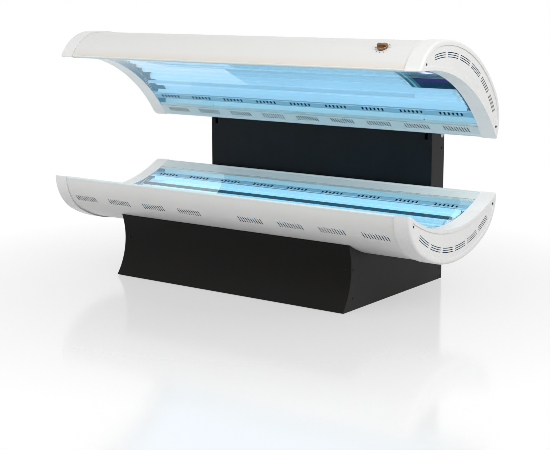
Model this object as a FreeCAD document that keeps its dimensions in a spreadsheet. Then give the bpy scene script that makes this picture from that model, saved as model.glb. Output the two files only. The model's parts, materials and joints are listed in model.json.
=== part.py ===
import FreeCAD, Part
import math
import os

doc = FreeCAD.newDocument("ClamshellTanningBed")
V = FreeCAD.Vector

# Driving sizes: millimetres, and degrees for the angles.
SIZES = {
    # the section that both halves share
    "section_half_width": 382.4,
    "section_depth": 251.2,
    "corner_radius": 204.3,
    "user_radius": 732,
    "user_depth": 102,
    "shell_wall": 3,
    "shell_overlap": 15,
    "seat_gap": 0.3,
    "cut_reach": 20,
    # lamps, which set the length
    "lamp_length": 1764,
    "lamp_radius": 19,
    "lamp_wall": 1.2,
    "lamp_cap_radius": 18.2,
    "lamp_cap_length": 14,
    "lamp_cap_lap": 2,
    "lamp_offset": 38,
    "lamp_inner": 25,
    "lamp_second": 75,
    "lamp_third": 147,
    "lamp_fourth": 197,
    "lamp_edge_gap": 30,
    "holder_depth": 18,
    "holder_width": 34,
    "end_room": 25,
    "bulkhead_wall": 4,
    "bulkhead_gap": 1,
    "bulkhead_margin": 20,
    "reflector_offset": 66,
    "reflector_wall": 1.5,
    "reflector_margin": 10,
    "rib_wall": 10,
    "inner_rib_x": 250,
    # end caps
    "cap_depth": 75,
    "cap_wall": 5.2,
    "cap_face": 4,
    "cap_round": 12,
    "cap_tip_round": 10,
    "cap_rim": 22,
    "cap_user_rim": 14,
    "plate_lap": 6,
    "plate_wall": 2.5,
    "vent_inset": 50,
    "vent_row_pitch": 9,
    "vent_slot": 3.4,
    "vent_end_margin": 80.6,
    "vent_gap": 18,
    "end_screw_inset": 29.8,
    "end_screw_offset": 26.1,
    # rails along both rims
    "rail_width": 62.4,
    "rail_lip": 10,
    "rail_tongue": 22,
    "rail_tongue_wall": 3,
    "rail_nose_width": 21.4,
    "rail_nose_bulge": 9.3,
    "rail_nose_rise": 0.15,
    "rail_nose_drop": 5,
    "rail_bend_drop": 4,
    "rail_bend_width": 9,
    "rail_flange": 12,
    # panes, strip and bars on the user side
    "pane_wall": 3,
    "side_pane_width": 55,
    "strip_width": 24,
    "strip_flange": 8,
    "duct_inset": 5,
    "duct_depth": 20,
    "duct_wall": 1.5,
    "bar_near": 150,
    "bar_far": 158,
    "bar_depth": 12,
    # slots in skin and rail
    "front_group_first": 175,
    "front_group_margin": 103.5,
    "front_group_length": 134,
    "front_slot_top": 91,
    "front_slot_height": 26,
    "rail_group_margin": 113,
    "rail_group_length": 132,
    "rail_slot_inset": 9,
    "slot_width": 4.5,
    "slot_slant": 9,
    "strip_group_margin": 109,
    "strip_group_length": 120,
    "strip_hole_length": 9,
    "strip_hole_margin": 4,
    # cooling fans
    "fan_radius": 106,
    "fan_wall": 4,
    "fan_gap": 16.5,
    "fan_motor_radius": 28,
    "fan_motor_height": 12,
    "fan_hub_radius": 34,
    "fan_hub_height": 22,
    "fan_hub_gap": 1,
    "fan_hub_taper": 3,
    "fan_blade_wall": 3,
    "fan_blade_chord": 28,
    "fan_blade_height": 17.6,
    "fan_blade_reach": 98,
    "fan_blade_root": 2,
    "fan_shaft_radius": 5,
    "fan_shaft_back": 6,
    "fan_spoke_width": 8,
    "fan_spoke_wall": 5,
    "intake_margin": 16,
    "outlet_radius": 88,
    "outlet_pitch": 18,
    "outlet_slot": 8,
    "running_gap": 0.06,
    # screws
    "screw_head": 5,
    "screw_rise": 2,
    "screw_shank": 2.5,
    "screw_hole": 2.6,
    # where the halves stand
    "bed_rim_z": 463.6,
    "rim_to_rim": 187.4,
    "hinge_setback": 86,
    "hinge_rise": 55,
    "open_angle": 25.8,
    # pedestal and column
    "base_half_length": 651,
    "panel_wall": 3,
    "front_foot_inset": 54.4,
    "front_waist_inset": 120.4,
    "front_waist_z": 193,
    "front_top_inset": 101.4,
    "front_top_drop": 173.6,
    "floor_gap": 4,
    "column_gap": 26.6,
    "column_depth": 114,
    "column_rise": 64,
    "sill_drop": 119.6,
    "cover_flange": 10,
    "cover_flange_wall": 2,
    "notch_gap": 5,
    "side_screw_inset": 14,
    "side_screw_high_z": 181,
    "side_screw_low_z": 57,
    "rear_screw_inset": 20,
    "rear_screw_high_z": 628,
    "rear_screw_low_z": 53,
    "corner_screw_inset": 9,
    "corner_screw_z": 16,
    "louvre_length": 160,
    "louvre_pitch": 280,
    "louvre_height": 6,
    "louvre_step": 14,
    "louvre_low_z": 140,
    "louvre_high_z": 520,
    # frame inside the pedestal
    "tube_size": 40,
    "tube_wall": 3,
    "weld_lap": 1,
    "foot_height": 10,
    "foot_radius": 19,
    "frame_side_gap": 3,
    "frame_front_gap": 18,
    "inner_tube_x": 215,
    "beam_drop": 56,
    "saddle_wall": 12,
    "saddle_setback": 26,
    "saddle_rear_inset": 52.4,
    "saddle_top_gap": 8,
    "saddle_window_first_y": -210,
    "saddle_window_width": 140,
    "saddle_window_pitch": 190,
    "saddle_window_rise": 45,
    "saddle_window_roof": 37.4,
    "tray_inset": 8,
    "tray_front_y": 180,
    "tray_rear_y": 340,
    "tray_wall": 3,
    "ballast_pitch_x": 100,
    "ballast_pitch_y": 90,
    "ballast_first_y": -130,
    "ballast_length": 80,
    "ballast_width": 70,
    "ballast_height": 55,
    "coil_length": 48,
    "coil_width": 40,
    "coil_height": 12,
    "control_length": 220,
    "control_width": 140,
    "control_near_y": 150,
    "control_height": 75,
    "control_lid_lap": 4,
    "control_lid_wall": 8,
    "gland_setback": 148,
    "gland_z": 90,
    "gland_neck": 9,
    "gland_bore": 4.5,
    "gland_flange": 13,
    "gland_flange_wall": 8,
    "gland_tail": 15,
    "gland_nut_wall": 6,
    "bracket_cap_back": 3,
    "bracket_cap_drop": 18,
    "bracket_cap_radius": 12,
    "bracket_cap_rise": 4,
    # hinge
    "arm_setback": 29,
    "arm_wall": 10,
    "arm_low": 27,
    "arm_high": 62,
    "arm_slot_gap": 3,
    "arm_knee_gap": 25,
    "arm_root": 6,
    "arm_reflector_gap": 6,
    "arm_back_gap": 2.5,
    "arm_skin_gap": 4,
    "arm_reach": 38,
    "hub_radius": 20,
    "hub_inner_reach": 40.7,
    "hub_outer_reach": 19.7,
    "pin_radius": 10,
    "pin_head_lap": 3,
    "pin_head_wall": 2,
    "pin_end": 1.5,
    "ear_wall": 6,
    "ear_radius": 22,
    "bracket_sole": 6,
    "bracket_height": 51,
    # gas struts
    "strut_inset": 27,
    "strut_radius": 9,
    "strut_wall": 1.5,
    "strut_neck": 5,
    "strut_shoulder": 14,
    "strut_floor": 22,
    "strut_seal": 10,
    "strut_chamfer": 2,
    "rod_radius": 4,
    "piston_place": 60,
    "piston_height": 10,
    "strut_foot_back": 10,
    "strut_drop": 311,
    "lever_back": 44.6,
    "lever_up": 6,
    "lever_wall": 6,
    "lever_gap": 2,
    "strut_pin_radius": 4,
    "strut_pin_head_lap": 2.5,
    "strut_pin_head_wall": 2,
    "strut_pin_gap": 1,
    "strut_eye_radius": 9,
    "strut_eye_width": 9,
    "linkage_gap": 1.3,
    "cylinder_length": 190,
    # timer on the canopy front
    "timer_setback": 226,
    "timer_angle": 56,
    "knob_radius": 24,
    "knob_height": 17,
    "knob_disc": 7,
    "knob_bevel": 2,
    "knob_grip_width": 13,
    "knob_grip_inset": 3,
    "knob_grip_round": 2,
    "knob_mark_width": 2,
    "knob_mark_depth": 1,
    "bezel_radius": 21,
    "bezel_rise": 3,
    "bezel_depth": 9,
    "timer_shaft_radius": 4,
    "timer_shaft_rise": 13,
    "timer_neck": 14,
    "timer_box": 40,
    "timer_depth": 20,
    # face tanner at the head end
    "tanner_length": 236,
    "tanner_end_gap": 1,
    "tanner_lamp_gap": 16,
    "tanner_rear": 92,
    "tanner_front": 232,
    "tanner_depth": 44,
    "tanner_wall": 2,
    "tanner_frame": 48,
    "tanner_first_bar": 14,
    "tanner_second_bar": 18,
    "tanner_recess": 3,
    "tanner_glass": 4,
    "burner_radius": 8,
    "burner_offset": 26,
    "burner_pitch": 95,
    "burner_end_gap": 14,
    "burner_post_width": 18,
    "burner_post_wall": 8,
}

# Sizes that follow from the ones above.
DERIVED = {
    "main_radius": "=((section_half_width - corner_radius)^2 + section_depth^2 - corner_radius^2)"
                   " / (2 * (section_depth - corner_radius))",
    "shell_inset": "=cap_wall + seat_gap",
    "lamp_end_x": "=lamp_length / 2",
    "bulkhead_x": "=lamp_end_x + holder_depth",
    "seam_x": "=bulkhead_x + end_room",
    "half_length": "=seam_x + cap_depth",
    "pane_half_length": "=seam_x - seat_gap",
    "pane_edge": "=section_half_width - rail_width",
    "strip_far": "=pane_edge - side_pane_width",
    "strip_near": "=strip_far - strip_width",
    "lamp_outer": "=pane_edge - lamp_edge_gap",
    "bulkhead_half_width": "=pane_edge - bulkhead_margin",
    "reflector_edge": "=pane_edge - reflector_margin",
    "rail_nose_start": "=section_half_width - rail_nose_width",
    "rail_slot_near": "=pane_edge + rail_slot_inset",
    "rail_slot_far": "=rail_nose_start - rail_slot_inset",
    "front_group_pitch": "=(seam_x - front_group_margin - front_group_first) / 3",
    "rail_group_pitch": "=(seam_x - rail_group_margin) / 4",
    "strip_group_pitch": "=(seam_x - strip_group_margin) / 4",
    "fan_near": "=user_depth + reflector_offset + reflector_wall + fan_gap",
    "canopy_rim_z": "=bed_rim_z + rim_to_rim",
    "column_front_y": "=section_half_width + column_gap",
    "back_y": "=column_front_y + column_depth",
    "hinge_y": "=column_front_y + hinge_setback",
    "hinge_z": "=canopy_rim_z + hinge_rise",
    "column_top_z": "=hinge_z + column_rise",
    "sill_z": "=bed_rim_z - sill_drop",
    "front_foot_y": "=section_half_width - front_foot_inset",
    "front_waist_y": "=section_half_width - front_waist_inset",
    "front_top_y": "=section_half_width - front_top_inset",
    "front_top_z": "=bed_rim_z - front_top_drop",
    "saddle_rear_y": "=section_half_width - saddle_rear_inset",
    "post_top_z": "=hinge_z - bracket_height",
    "bracket_cap_y": "=hinge_y + bracket_cap_back",
    "bracket_cap_z": "=hinge_z - bracket_cap_drop",
    "canopy_shift_y": "=hinge_y - (hinge_y * cos(open_angle * 1 deg) + hinge_z * sin(open_angle * 1 deg))",
    "canopy_shift_z": "=hinge_z - (hinge_z * cos(open_angle * 1 deg) - hinge_y * sin(open_angle * 1 deg))",
    "side_inner_x": "=base_half_length - panel_wall",
    "frame_half_length": "=side_inner_x - frame_side_gap",
    "outer_saddle_x": "=side_inner_x - saddle_setback",
    "gland_x": "=side_inner_x - gland_setback",
    "arm_x": "=side_inner_x - arm_setback",
    "hub_in_x": "=arm_x - hub_inner_reach",
    "hub_out_x": "=arm_x + hub_outer_reach",
    "strut_x": "=arm_x - strut_inset",
    "strut_foot_y": "=hinge_y + strut_foot_back",
    "strut_foot_z": "=hinge_z - strut_drop",
    "eye_y": "=hinge_y - lever_back",
    "eye_z": "=hinge_z + lever_up",
    "strut_length": "=sqrt((eye_y - strut_foot_y)^2 + (eye_z - strut_foot_z)^2)",
    "strut_tilt": "=atan2(strut_foot_y - eye_y; eye_z - strut_foot_z) / 1 deg",
    "timer_x": "=half_length - timer_setback",
    "timer_reach": "=corner_radius - shell_inset",
    "timer_y": "=-(section_half_width - corner_radius + timer_reach * sin(timer_angle * 1 deg))",
    "timer_z": "=canopy_rim_z + timer_reach * cos(timer_angle * 1 deg)",
    "timer_open_y": "=timer_y * cos(open_angle * 1 deg) + timer_z * sin(open_angle * 1 deg)"
                    " + canopy_shift_y",
    "timer_open_z": "=timer_z * cos(open_angle * 1 deg) - timer_y * sin(open_angle * 1 deg)"
                    " + canopy_shift_z",
    "tanner_out_x": "=seam_x - tanner_end_gap",
    "tanner_in_x": "=tanner_out_x - tanner_length",
    "short_end_x": "=tanner_in_x - tanner_lamp_gap",
    "short_lamp_length": "=lamp_end_x + short_end_x",
}

VENT_GROUP_COUNT = 6
VENT_LINE_COUNT = 3
SLOT_COUNT = 10
HOLE_COUNT = 6
FRONT_GROUP_COUNT = 4
RAIL_GROUP_COUNT = 4
OUTLET_SLOT_COUNT = 4
FAN_BLADE_COUNT = 7
LOUVRE_ROW_COUNT = 7
BALLAST_COLUMN_COUNT = 4
BALLAST_ROW_COUNT = 3
SADDLE_WINDOW_COUNT = 3
SIDES = ((-1, "left"), (1, "right"))

sheet = doc.addObject("Spreadsheet::Sheet", "Sizes")
for number, (name, amount) in enumerate(list(SIZES.items()) + list(DERIVED.items())):
    sheet.set("A%d" % (number + 1), name)
    sheet.set("B%d" % (number + 1), str(amount))
    sheet.setAlias("B%d" % (number + 1), name)
doc.recompute()

CELLS = {name: "Sizes." + name for name in list(SIZES) + list(DERIVED)}


def size(name):
    amount = sheet.get(name)
    return float(getattr(amount, "Value", amount))


def bind(item, prop, text):
    item.setExpression(prop, text.format_map(CELLS))


# ---------------------------------------------------------------- section geometry
A = size("section_half_width")
B = size("section_depth")
RC = size("corner_radius")
RM = size("main_radius")
CORNER = A - RC
USER_R = size("user_radius")
USER_C = size("user_depth") - USER_R
GAP = size("seat_gap")
SKIN = size("shell_inset")
SKIN_BACK = SKIN + size("shell_wall")
PANE = size("pane_wall")


def outer_along(inset, perp):
    """Distance from the middle plane of the outline, pulled in by inset, at a given depth."""
    if perp <= (RC - inset) * (RM - B) / (RM - RC):
        return CORNER + math.sqrt((RC - inset) ** 2 - perp ** 2)
    return math.sqrt(max((RM - inset) ** 2 - (perp + RM - B) ** 2, 0))


def outer_perp(inset, along):
    """Depth of the outline, pulled in by inset, at a distance from the middle plane."""
    along = abs(along)
    if along > CORNER + (RC - inset) * CORNER / (RM - RC):
        return math.sqrt(max((RC - inset) ** 2 - (along - CORNER) ** 2, 0))
    return B - RM + math.sqrt((RM - inset) ** 2 - along ** 2)


def user_perp(offset, along):
    """Depth of the concave user surface, pushed back by offset."""
    return USER_C + math.sqrt((USER_R + offset) ** 2 - along ** 2)


def outline(inset, front, rear):
    """Outline, pulled in by inset, from a place at the front to a place at the rear."""
    low = RC - inset
    knee = math.atan2(CORNER, RM - B)
    edge = CORNER + low * math.sin(knee)

    def corner(side, turn):
        return (side * (CORNER + low * math.sin(turn)), low * math.cos(turn))

    def main(along):
        return (along, outer_perp(inset, along))

    path = [main(front)]
    start = front
    end = min(rear, edge)
    if front < -edge:
        turn = math.asin(min((-front - CORNER) / low, 1))
        path.append((corner(-1, (turn + knee) / 2), corner(-1, knee)))
        start = -edge
    path.append((main((start + end) / 2), main(end)))
    if rear > edge:
        turn = math.asin(min((rear - CORNER) / low, 1))
        path.append((corner(1, (turn + knee) / 2), main(rear)))
    return path


def outer_run(inset, perp):
    """Outline, pulled in by inset, between the two places at one depth."""
    reach = outer_along(inset, perp)
    return outline(inset, -reach, reach)


def is_arc(item):
    return isinstance(item[0], tuple)


def moved(path, put):
    """The same run of lines and arcs with every point passed through put."""
    return [(put(item[0]), put(item[1])) if is_arc(item) else put(item) for item in path]


def backwards(path):
    """The same run of lines and arcs from its end to its start."""
    spots = [item[1] if is_arc(item) else item for item in path]
    result = [spots[-1]]
    for number in range(len(path) - 1, 0, -1):
        before = spots[number - 1]
        if is_arc(path[number]):
            result.append((path[number][0], before))
        else:
            result.append(before)
    return result


def user_run(offset, start, end):
    """One arc of the user surface between two distances from the middle plane."""
    middle = (start + end) / 2
    return [(start, user_perp(offset, start)),
            ((middle, user_perp(offset, middle)), (end, user_perp(offset, end)))]


def tip_depth(inset, offset):
    """Depth at which the outline, pulled in, meets the user surface, pushed back."""
    low = 0.0
    high = 0.8 * (RC - inset)
    for step in range(60):
        tip = (low + high) / 2
        if tip < user_perp(offset, outer_along(inset, tip)):
            low = tip
        else:
            high = tip
    return tip


def crescent(inset, offset):
    """Closed crescent between the outline and the user surface."""
    middle = (0, user_perp(offset, 0))
    if user_perp(offset, outer_along(inset, 0)) < 0:
        edge = math.sqrt((USER_R + offset) ** 2 - USER_C ** 2)
        return outer_run(inset, 0) + [(edge, 0), (middle, (-edge, 0))]
    tip = tip_depth(inset, offset)
    return outer_run(inset, tip) + [(middle, (-outer_along(inset, tip), tip))]


def band(near, far, start, end):
    """Strip of a sheet that follows the user surface."""
    return user_run(near, start, end) + user_run(far, end, start)


def flat(point):
    return V(point[0], point[1], 0)


class Half:
    """One half of the clamshell: maps (along, depth) of the section to the sketch plane."""

    def __init__(self, name, sign, rim):
        self.name = name
        self.sign = sign
        self.rim = rim

    def z(self, perp):
        return self.rim + self.sign * perp

    def to_yz(self, point):
        return (point[0], self.z(point[1]))

    def at(self, point):
        return flat(self.to_yz(point))

    def place(self, item):
        if self.sign > 0:
            tilt(item)


BED = Half("bed", -1, size("bed_rim_z"))
CANOPY = Half("canopy", 1, size("canopy_rim_z"))


SAME = 0.01
WELD = size("weld_lap")
TANNER_NEAR = PANE + size("bar_depth") + size("bulkhead_gap")
TANNER_FAR = TANNER_NEAR + size("tanner_depth")
TANNER_WALL = size("tanner_wall")
TANNER_FRONT = -size("tanner_front")
TANNER_REAR = size("tanner_rear")


# ---------------------------------------------------------------- building helpers
def tilt(item):
    """Put a piece drawn with the canopy shut where it is with the canopy open."""
    turn_about_x(item, "-{open_angle}", "0 mm", "{canopy_shift_y}", "{canopy_shift_z}")


def turn_about_x(item, angle, x, y, z):
    item.Placement = FreeCAD.Placement(V(0, 0, 0), FreeCAD.Rotation(V(1, 0, 0), 1))
    bind(item, "Placement.Rotation.Angle", angle + " * 1 deg")
    bind(item, "Placement.Base.x", x)
    bind(item, "Placement.Base.y", y)
    bind(item, "Placement.Base.z", z)


def new_body(label):
    body = doc.addObject("PartDesign::Body", label)
    body.Label = label
    body.AllowCompound = True
    return body


def origin_item(body, role):
    return [item for item in body.Origin.OriginFeatures if item.Role == role][0]


def new_sketch(body, role, offset="0"):
    sketch = body.newObject("Sketcher::SketchObject", body.Label + "_sketch")
    sketch.AttachmentSupport = [(origin_item(body, role), "")]
    sketch.MapMode = "FlatFace"
    bind(sketch, "AttachmentOffset.Base.z", offset)
    return sketch


def draw(sketch, path, put=flat):
    """Closed loop; a pair of points is an arc by way of the first to the second."""
    start = put(path[0])
    here = start
    for item in path[1:] + [path[0]]:
        there = put(item[1]) if is_arc(item) else put(item)
        if there.distanceToPoint(here) < 1e-6:
            continue
        if is_arc(item):
            sketch.addGeometry(Part.Arc(here, put(item[0]), there), False)
        else:
            sketch.addGeometry(Part.LineSegment(here, there), False)
        here = there


def loop(body, role, offset, path, put=flat):
    """Sketch that holds one closed loop."""
    sketch = new_sketch(body, role, offset)
    draw(sketch, path, put)
    return sketch


def discs(body, role, offset, spots, *radii):
    """Sketch with a circle, or rings of circles, round each spot."""
    sketch = new_sketch(body, role, offset)
    for x, y in spots:
        for radius in radii:
            sketch.addGeometry(Part.Circle(V(x, y, 0), V(0, 0, 1), radius), False)
    return sketch


def box_path(x0, y0, x1, y1):
    return [(x0, y0), (x1, y0), (x1, y1), (x0, y1)]


def box_about(x, y, length, width):
    return box_path(x - length / 2, y - width / 2, x + length / 2, y + width / 2)


def add_feature(body, kind, sketch, length, both, back):
    item = body.newObject("PartDesign::" + kind, body.Label + "_" + kind.lower())
    item.Profile = sketch
    bind(item, "Length", length)
    if both:
        item.SideType = "Symmetric"
    item.Reversed = back
    body.Tip = item
    return item


def pad(body, sketch, length, both=False, back=False):
    return add_feature(body, "Pad", sketch, length, both, back)


def pocket(body, sketch, length, both=False, back=False):
    return add_feature(body, "Pocket", sketch, length, both, back)


def revolve(body, path):
    """Turn a half section, drawn in the XZ plane, about the Z axis."""
    item = body.newObject("PartDesign::Revolution", body.Label + "_turn")
    sketch = loop(body, "XZ_Plane", "0", path)
    item.Profile = sketch
    item.ReferenceAxis = (sketch, ["V_Axis"])
    item.Angle = 360
    body.Tip = item
    return item


def round_edges(body, feature, radius, wanted):
    doc.recompute()
    names = ["Edge%d" % (number + 1) for number, edge in enumerate(feature.Shape.Edges) if wanted(edge)]
    item = body.newObject("PartDesign::Fillet", body.Label + "_round")
    item.Base = (feature, names)
    bind(item, "Radius", radius)
    body.Tip = item
    return item


def spin_copies(body, feature, count):
    item = body.newObject("PartDesign::PolarPattern", body.Label + "_ring")
    item.Originals = [feature]
    item.Axis = (origin_item(body, "Z_Axis"), [""])
    item.Angle = 360
    item.Occurrences = count
    body.Tip = item
    return item


def slanted_slot(x, near, far):
    """Parallelogram slot, drawn as x and the second sketch direction."""
    w = size("slot_width") / 2
    lean = size("slot_slant") / 2
    return [(x - lean - w, far), (x - lean + w, far), (x + lean + w, near), (x + lean - w, near)]


def spread(middle, length, count):
    """Evenly spaced places that fill a length about its middle."""
    return [middle - length / 2 + length * number / (count - 1) for number in range(count)]


def slot_places(middle, length):
    return spread(middle, length - size("slot_width") - size("slot_slant"), SLOT_COUNT)


# ---------------------------------------------------------------- outer pieces of one half
def cut_front_slots(body):
    top = BED.z(size("front_slot_top"))
    sketch = new_sketch(body, "XZ_Plane", "{section_half_width} + {cut_reach}")
    for side, word in SIDES:
        for group in range(FRONT_GROUP_COUNT):
            middle = side * (size("front_group_first") + group * size("front_group_pitch"))
            for x in slot_places(middle, size("front_group_length")):
                draw(sketch, slanted_slot(x, top - size("front_slot_height"), top))
    pocket(body, sketch, "{section_half_width} / 3")


def cut_intake(body):
    radius = size("fan_radius") - size("intake_margin")
    sketch = discs(body, "XY_Plane", "{bed_rim_z} - {section_depth}", [(0, 0)], radius)
    pocket(body, sketch, "{cut_reach}", back=True)


def cut_outlet(body):
    sketch = new_sketch(body, "XY_Plane", "{canopy_rim_z} + {section_depth}")
    for number in range(-OUTLET_SLOT_COUNT, OUTLET_SLOT_COUNT + 1):
        y = number * size("outlet_pitch")
        reach = math.sqrt(size("outlet_radius") ** 2 - y ** 2)
        draw(sketch, box_about(0, y, 2 * reach, size("outlet_slot")))
    pocket(body, sketch, "{cut_reach}")


def cut_arm_slots(body):
    gap = size("arm_slot_gap")
    middle = CANOPY.z((size("arm_low") + size("arm_high")) / 2)
    tall = size("arm_high") - size("arm_low") + 2 * gap
    sketch = new_sketch(body, "XZ_Plane", "-{section_half_width} - {cut_reach}")
    for side, word in SIDES:
        draw(sketch, box_about(side * size("arm_x"), middle, size("arm_wall") + 2 * gap, tall))
    pocket(body, sketch, "3 * {cut_reach}", back=True)


def cut_timer_hole(body):
    """Round hole, square to the canopy front, that the timer's neck goes through."""
    sketch = discs(body, "XY_Plane", "{timer_z}", [(0, 0)], size("timer_neck") + GAP)
    sketch.AttachmentOffset = FreeCAD.Placement(V(0, 0, 0), FreeCAD.Rotation(V(1, 0, 0), 1))
    bind(sketch, "AttachmentOffset.Rotation.Angle", "{timer_angle} * 1 deg")
    bind(sketch, "AttachmentOffset.Base.x", "{timer_x}")
    bind(sketch, "AttachmentOffset.Base.y", "{timer_y}")
    pocket(body, sketch, "{timer_box}", both=True)


def make_shell(half):
    body = new_body(half.name + "_shell")
    top = size("rail_lip") + GAP
    path = outer_run(SKIN, top) + backwards(outer_run(SKIN_BACK, top))
    pad(body, loop(body, "YZ_Plane", "0", path, half.at), "2 * ({seam_x} + {shell_overlap})", both=True)
    if half is BED:
        cut_front_slots(body)
        cut_intake(body)
    else:
        cut_outlet(body)
        cut_arm_slots(body)
        cut_timer_hole(body)
    half.place(body)


def tip_corner(half, side):
    """What rounding takes off the rim's outer corner, seen from the front."""
    radius = size("cap_tip_round")
    end_x = side * size("half_length")
    start = end_x - side * radius
    bulge = radius * (1 - math.sqrt(0.5))
    beyond = end_x + side * WELD
    below = half.z(-WELD)
    return [(start, below), (beyond, below), (beyond, half.z(radius)), (end_x, half.z(radius)),
            ((end_x - side * bulge, half.z(bulge)), (start, half.z(0)))]


def make_trim(half, side, word):
    body = new_body(half.name + "_end_trim_" + word)
    seam = "%d * {seam_x}" % side
    block = pad(body, loop(body, "YZ_Plane", seam, crescent(0, 0), half.at), "{cap_depth}", back=side < 0)
    end_x = side * size("half_length")

    def on_outline(edge):
        at_end = all(abs(corner.X - end_x) < SAME for corner in edge.Vertexes)
        is_circle = edge.Curve.TypeId == "Part::GeomCircle"
        return at_end and is_circle and abs(edge.Curve.Radius - USER_R) > SAME

    round_edges(body, block, "{cap_round}", on_outline)
    hollow = loop(body, "YZ_Plane", seam, crescent(size("cap_wall"), size("cap_wall")), half.at)
    pocket(body, hollow, "{cap_depth} - {cap_face}", back=side > 0)
    rim = crescent(size("cap_rim"), size("cap_user_rim"))
    window = loop(body, "YZ_Plane", "%d * {half_length}" % side, rim, half.at)
    pocket(body, window, "{cap_depth} / 2", back=side < 0)
    pocket(body, loop(body, "XZ_Plane", "0", tip_corner(half, side)), "4 * {section_half_width}", both=True)
    half.place(body)


def end_screw_spots(half):
    inset = size("end_screw_inset")
    depth = tip_depth(inset, size("end_screw_offset"))
    return [half.to_yz((side * outer_along(inset, depth), depth)) for side, word in SIDES]


def vent_slots(sketch, half):
    """Groups of short slots in lines concentric with the outline."""

    def spot(radius, turn):
        return (radius * math.sin(turn), B - RM + radius * math.cos(turn))

    top = RM - size("vent_inset")
    reach = math.asin((A - size("vent_end_margin")) / top)
    gap = size("vent_gap") / top
    pitch = (2 * reach + gap) / VENT_GROUP_COUNT
    for group in range(VENT_GROUP_COUNT):
        first = group * pitch - reach
        last = first + pitch - gap
        middle = (first + last) / 2
        for line in range(VENT_LINE_COUNT):
            high = top - line * size("vent_row_pitch")
            low = high - size("vent_slot")
            draw(sketch, [spot(high, first), (spot(high, middle), spot(high, last)), spot(low, last),
                          (spot(low, middle), spot(low, first))], half.at)


def make_end_plates(half):
    body = new_body(half.name + "_end_plates")
    lap = size("plate_lap")
    path = crescent(size("cap_rim") - lap, size("cap_user_rim") - lap)
    for side, word in SIDES:
        sketch = loop(body, "YZ_Plane", "%d * ({half_length} - {cap_face})" % side, path, half.at)
        pad(body, sketch, "{plate_wall}", back=side > 0)
    cuts = discs(body, "YZ_Plane", "0", end_screw_spots(half), size("screw_hole"))
    vent_slots(cuts, half)
    pocket(body, cuts, "3 * {half_length}", both=True)
    half.place(body)


def rail_path(side):
    """Rail section: a nose round the rim, a tongue in the shell and a flange behind the pane."""
    edge = size("pane_edge") + GAP
    nose = size("rail_nose_start")
    deep = 2 * PANE + GAP
    lip = size("rail_lip")
    tongue = size("rail_tongue")
    tongue_out = SKIN_BACK + GAP
    tongue_in = tongue_out + size("rail_tongue_wall")
    drop = size("rail_nose_drop")
    bend_z = lip + size("rail_bend_drop")
    bend = outer_along(tongue_in, bend_z)
    inner = bend - size("rail_bend_width")
    flange = edge - size("rail_flange")
    path = user_run(0, edge, nose)
    path.append(((nose + size("rail_nose_bulge"), size("rail_nose_rise")), (outer_along(SKIN, drop), drop)))
    path += [(outer_along(SKIN, lip), lip), (outer_along(tongue_out, lip), lip)]
    path += [(outer_along(tongue_out, tongue), tongue), (outer_along(tongue_in, tongue), tongue)]
    path += [(bend, bend_z)] + user_run(deep, inner, flange) + user_run(PANE, flange, edge)
    return moved(path, lambda point: (side * point[0], point[1]))


def cut_rail_slots(body):
    sketch = new_sketch(body, "XY_Plane", "{canopy_rim_z} + {section_depth} / 4")
    for group in range(-RAIL_GROUP_COUNT, RAIL_GROUP_COUNT + 1):
        for x in slot_places(group * size("rail_group_pitch"), size("rail_group_length")):
            draw(sketch, slanted_slot(x, size("rail_slot_far"), size("rail_slot_near")))
    pocket(body, sketch, "{section_depth}", both=True)


def make_rail(half, side, word):
    body = new_body(half.name + "_" + word + "_rail")
    pad(body, loop(body, "YZ_Plane", "0", rail_path(side), half.at), "2 * {pane_half_length}", both=True)
    if half is CANOPY and side > 0:
        cut_rail_slots(body)
    half.place(body)


def make_pane(half, label, start, end):
    body = new_body(half.name + "_" + label)
    path = band(0, PANE, start, end)
    pad(body, loop(body, "YZ_Plane", "0", path, half.at), "2 * {pane_half_length}", both=True)
    half.place(body)


def make_strip(half):
    """Perforated strip between the two panes, with flanges and an air duct behind it."""
    body = new_body(half.name + "_vent_strip")
    near = size("strip_near") + GAP
    far = size("strip_far") - GAP
    lap = size("strip_flange")
    back = 2 * PANE
    path = user_run(0, near, far) + user_run(PANE, far, far + lap)
    path += user_run(back, far + lap, near - lap) + user_run(PANE, near - lap, near)
    pad(body, loop(body, "YZ_Plane", "0", path, half.at), "2 * {pane_half_length}", both=True)
    low = near - lap + size("duct_inset")
    high = far + lap - size("duct_inset")
    wall = size("duct_wall")
    floor = back + size("duct_depth")
    duct = loop(body, "YZ_Plane", "0", band(back - WELD, floor, low, high), half.at)
    draw(duct, band(back, floor - wall, low + wall, high - wall), half.at)
    pad(body, duct, "2 * ({bulkhead_x} - {bulkhead_gap})", both=True)
    middle = (near + far) / 2
    wide = far - near - 2 * size("strip_hole_margin")
    length = size("strip_group_length") - size("slot_width") - size("slot_slant")
    holes = new_sketch(body, "XY_Plane", "%.4f" % half.z(user_perp(PANE, middle)))
    for group in range(-RAIL_GROUP_COUNT, RAIL_GROUP_COUNT + 1):
        for x in spread(group * size("strip_group_pitch"), length, HOLE_COUNT):
            draw(holes, box_about(x, middle, size("strip_hole_length"), wide))
    pocket(body, holes, "{strip_width}", both=True)
    half.place(body)


# ---------------------------------------------------------------- inner pieces of one half
def make_bars(half):
    """Two bars behind the pane; in the canopy they stop at the face tanner."""
    body = new_body(half.name + "_support_bars")
    near = size("bar_near")
    far = size("bar_far")
    back = PANE + size("bar_depth")
    sketch = loop(body, "YZ_Plane", "-{bulkhead_x}", band(PANE, back, near, far), half.at)
    draw(sketch, band(PANE, back, -far, -near), half.at)
    end = "{bulkhead_x}" if half is BED else "{short_end_x}"
    pad(body, sketch, end + " + {bulkhead_x}")
    half.place(body)


def lamp_spots():
    rows = [size("lamp_" + word) for word in ("inner", "second", "third", "fourth", "outer")]
    offset = size("lamp_offset")
    return [(side * along, user_perp(offset, along)) for side, word in SIDES for along in rows]


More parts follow.
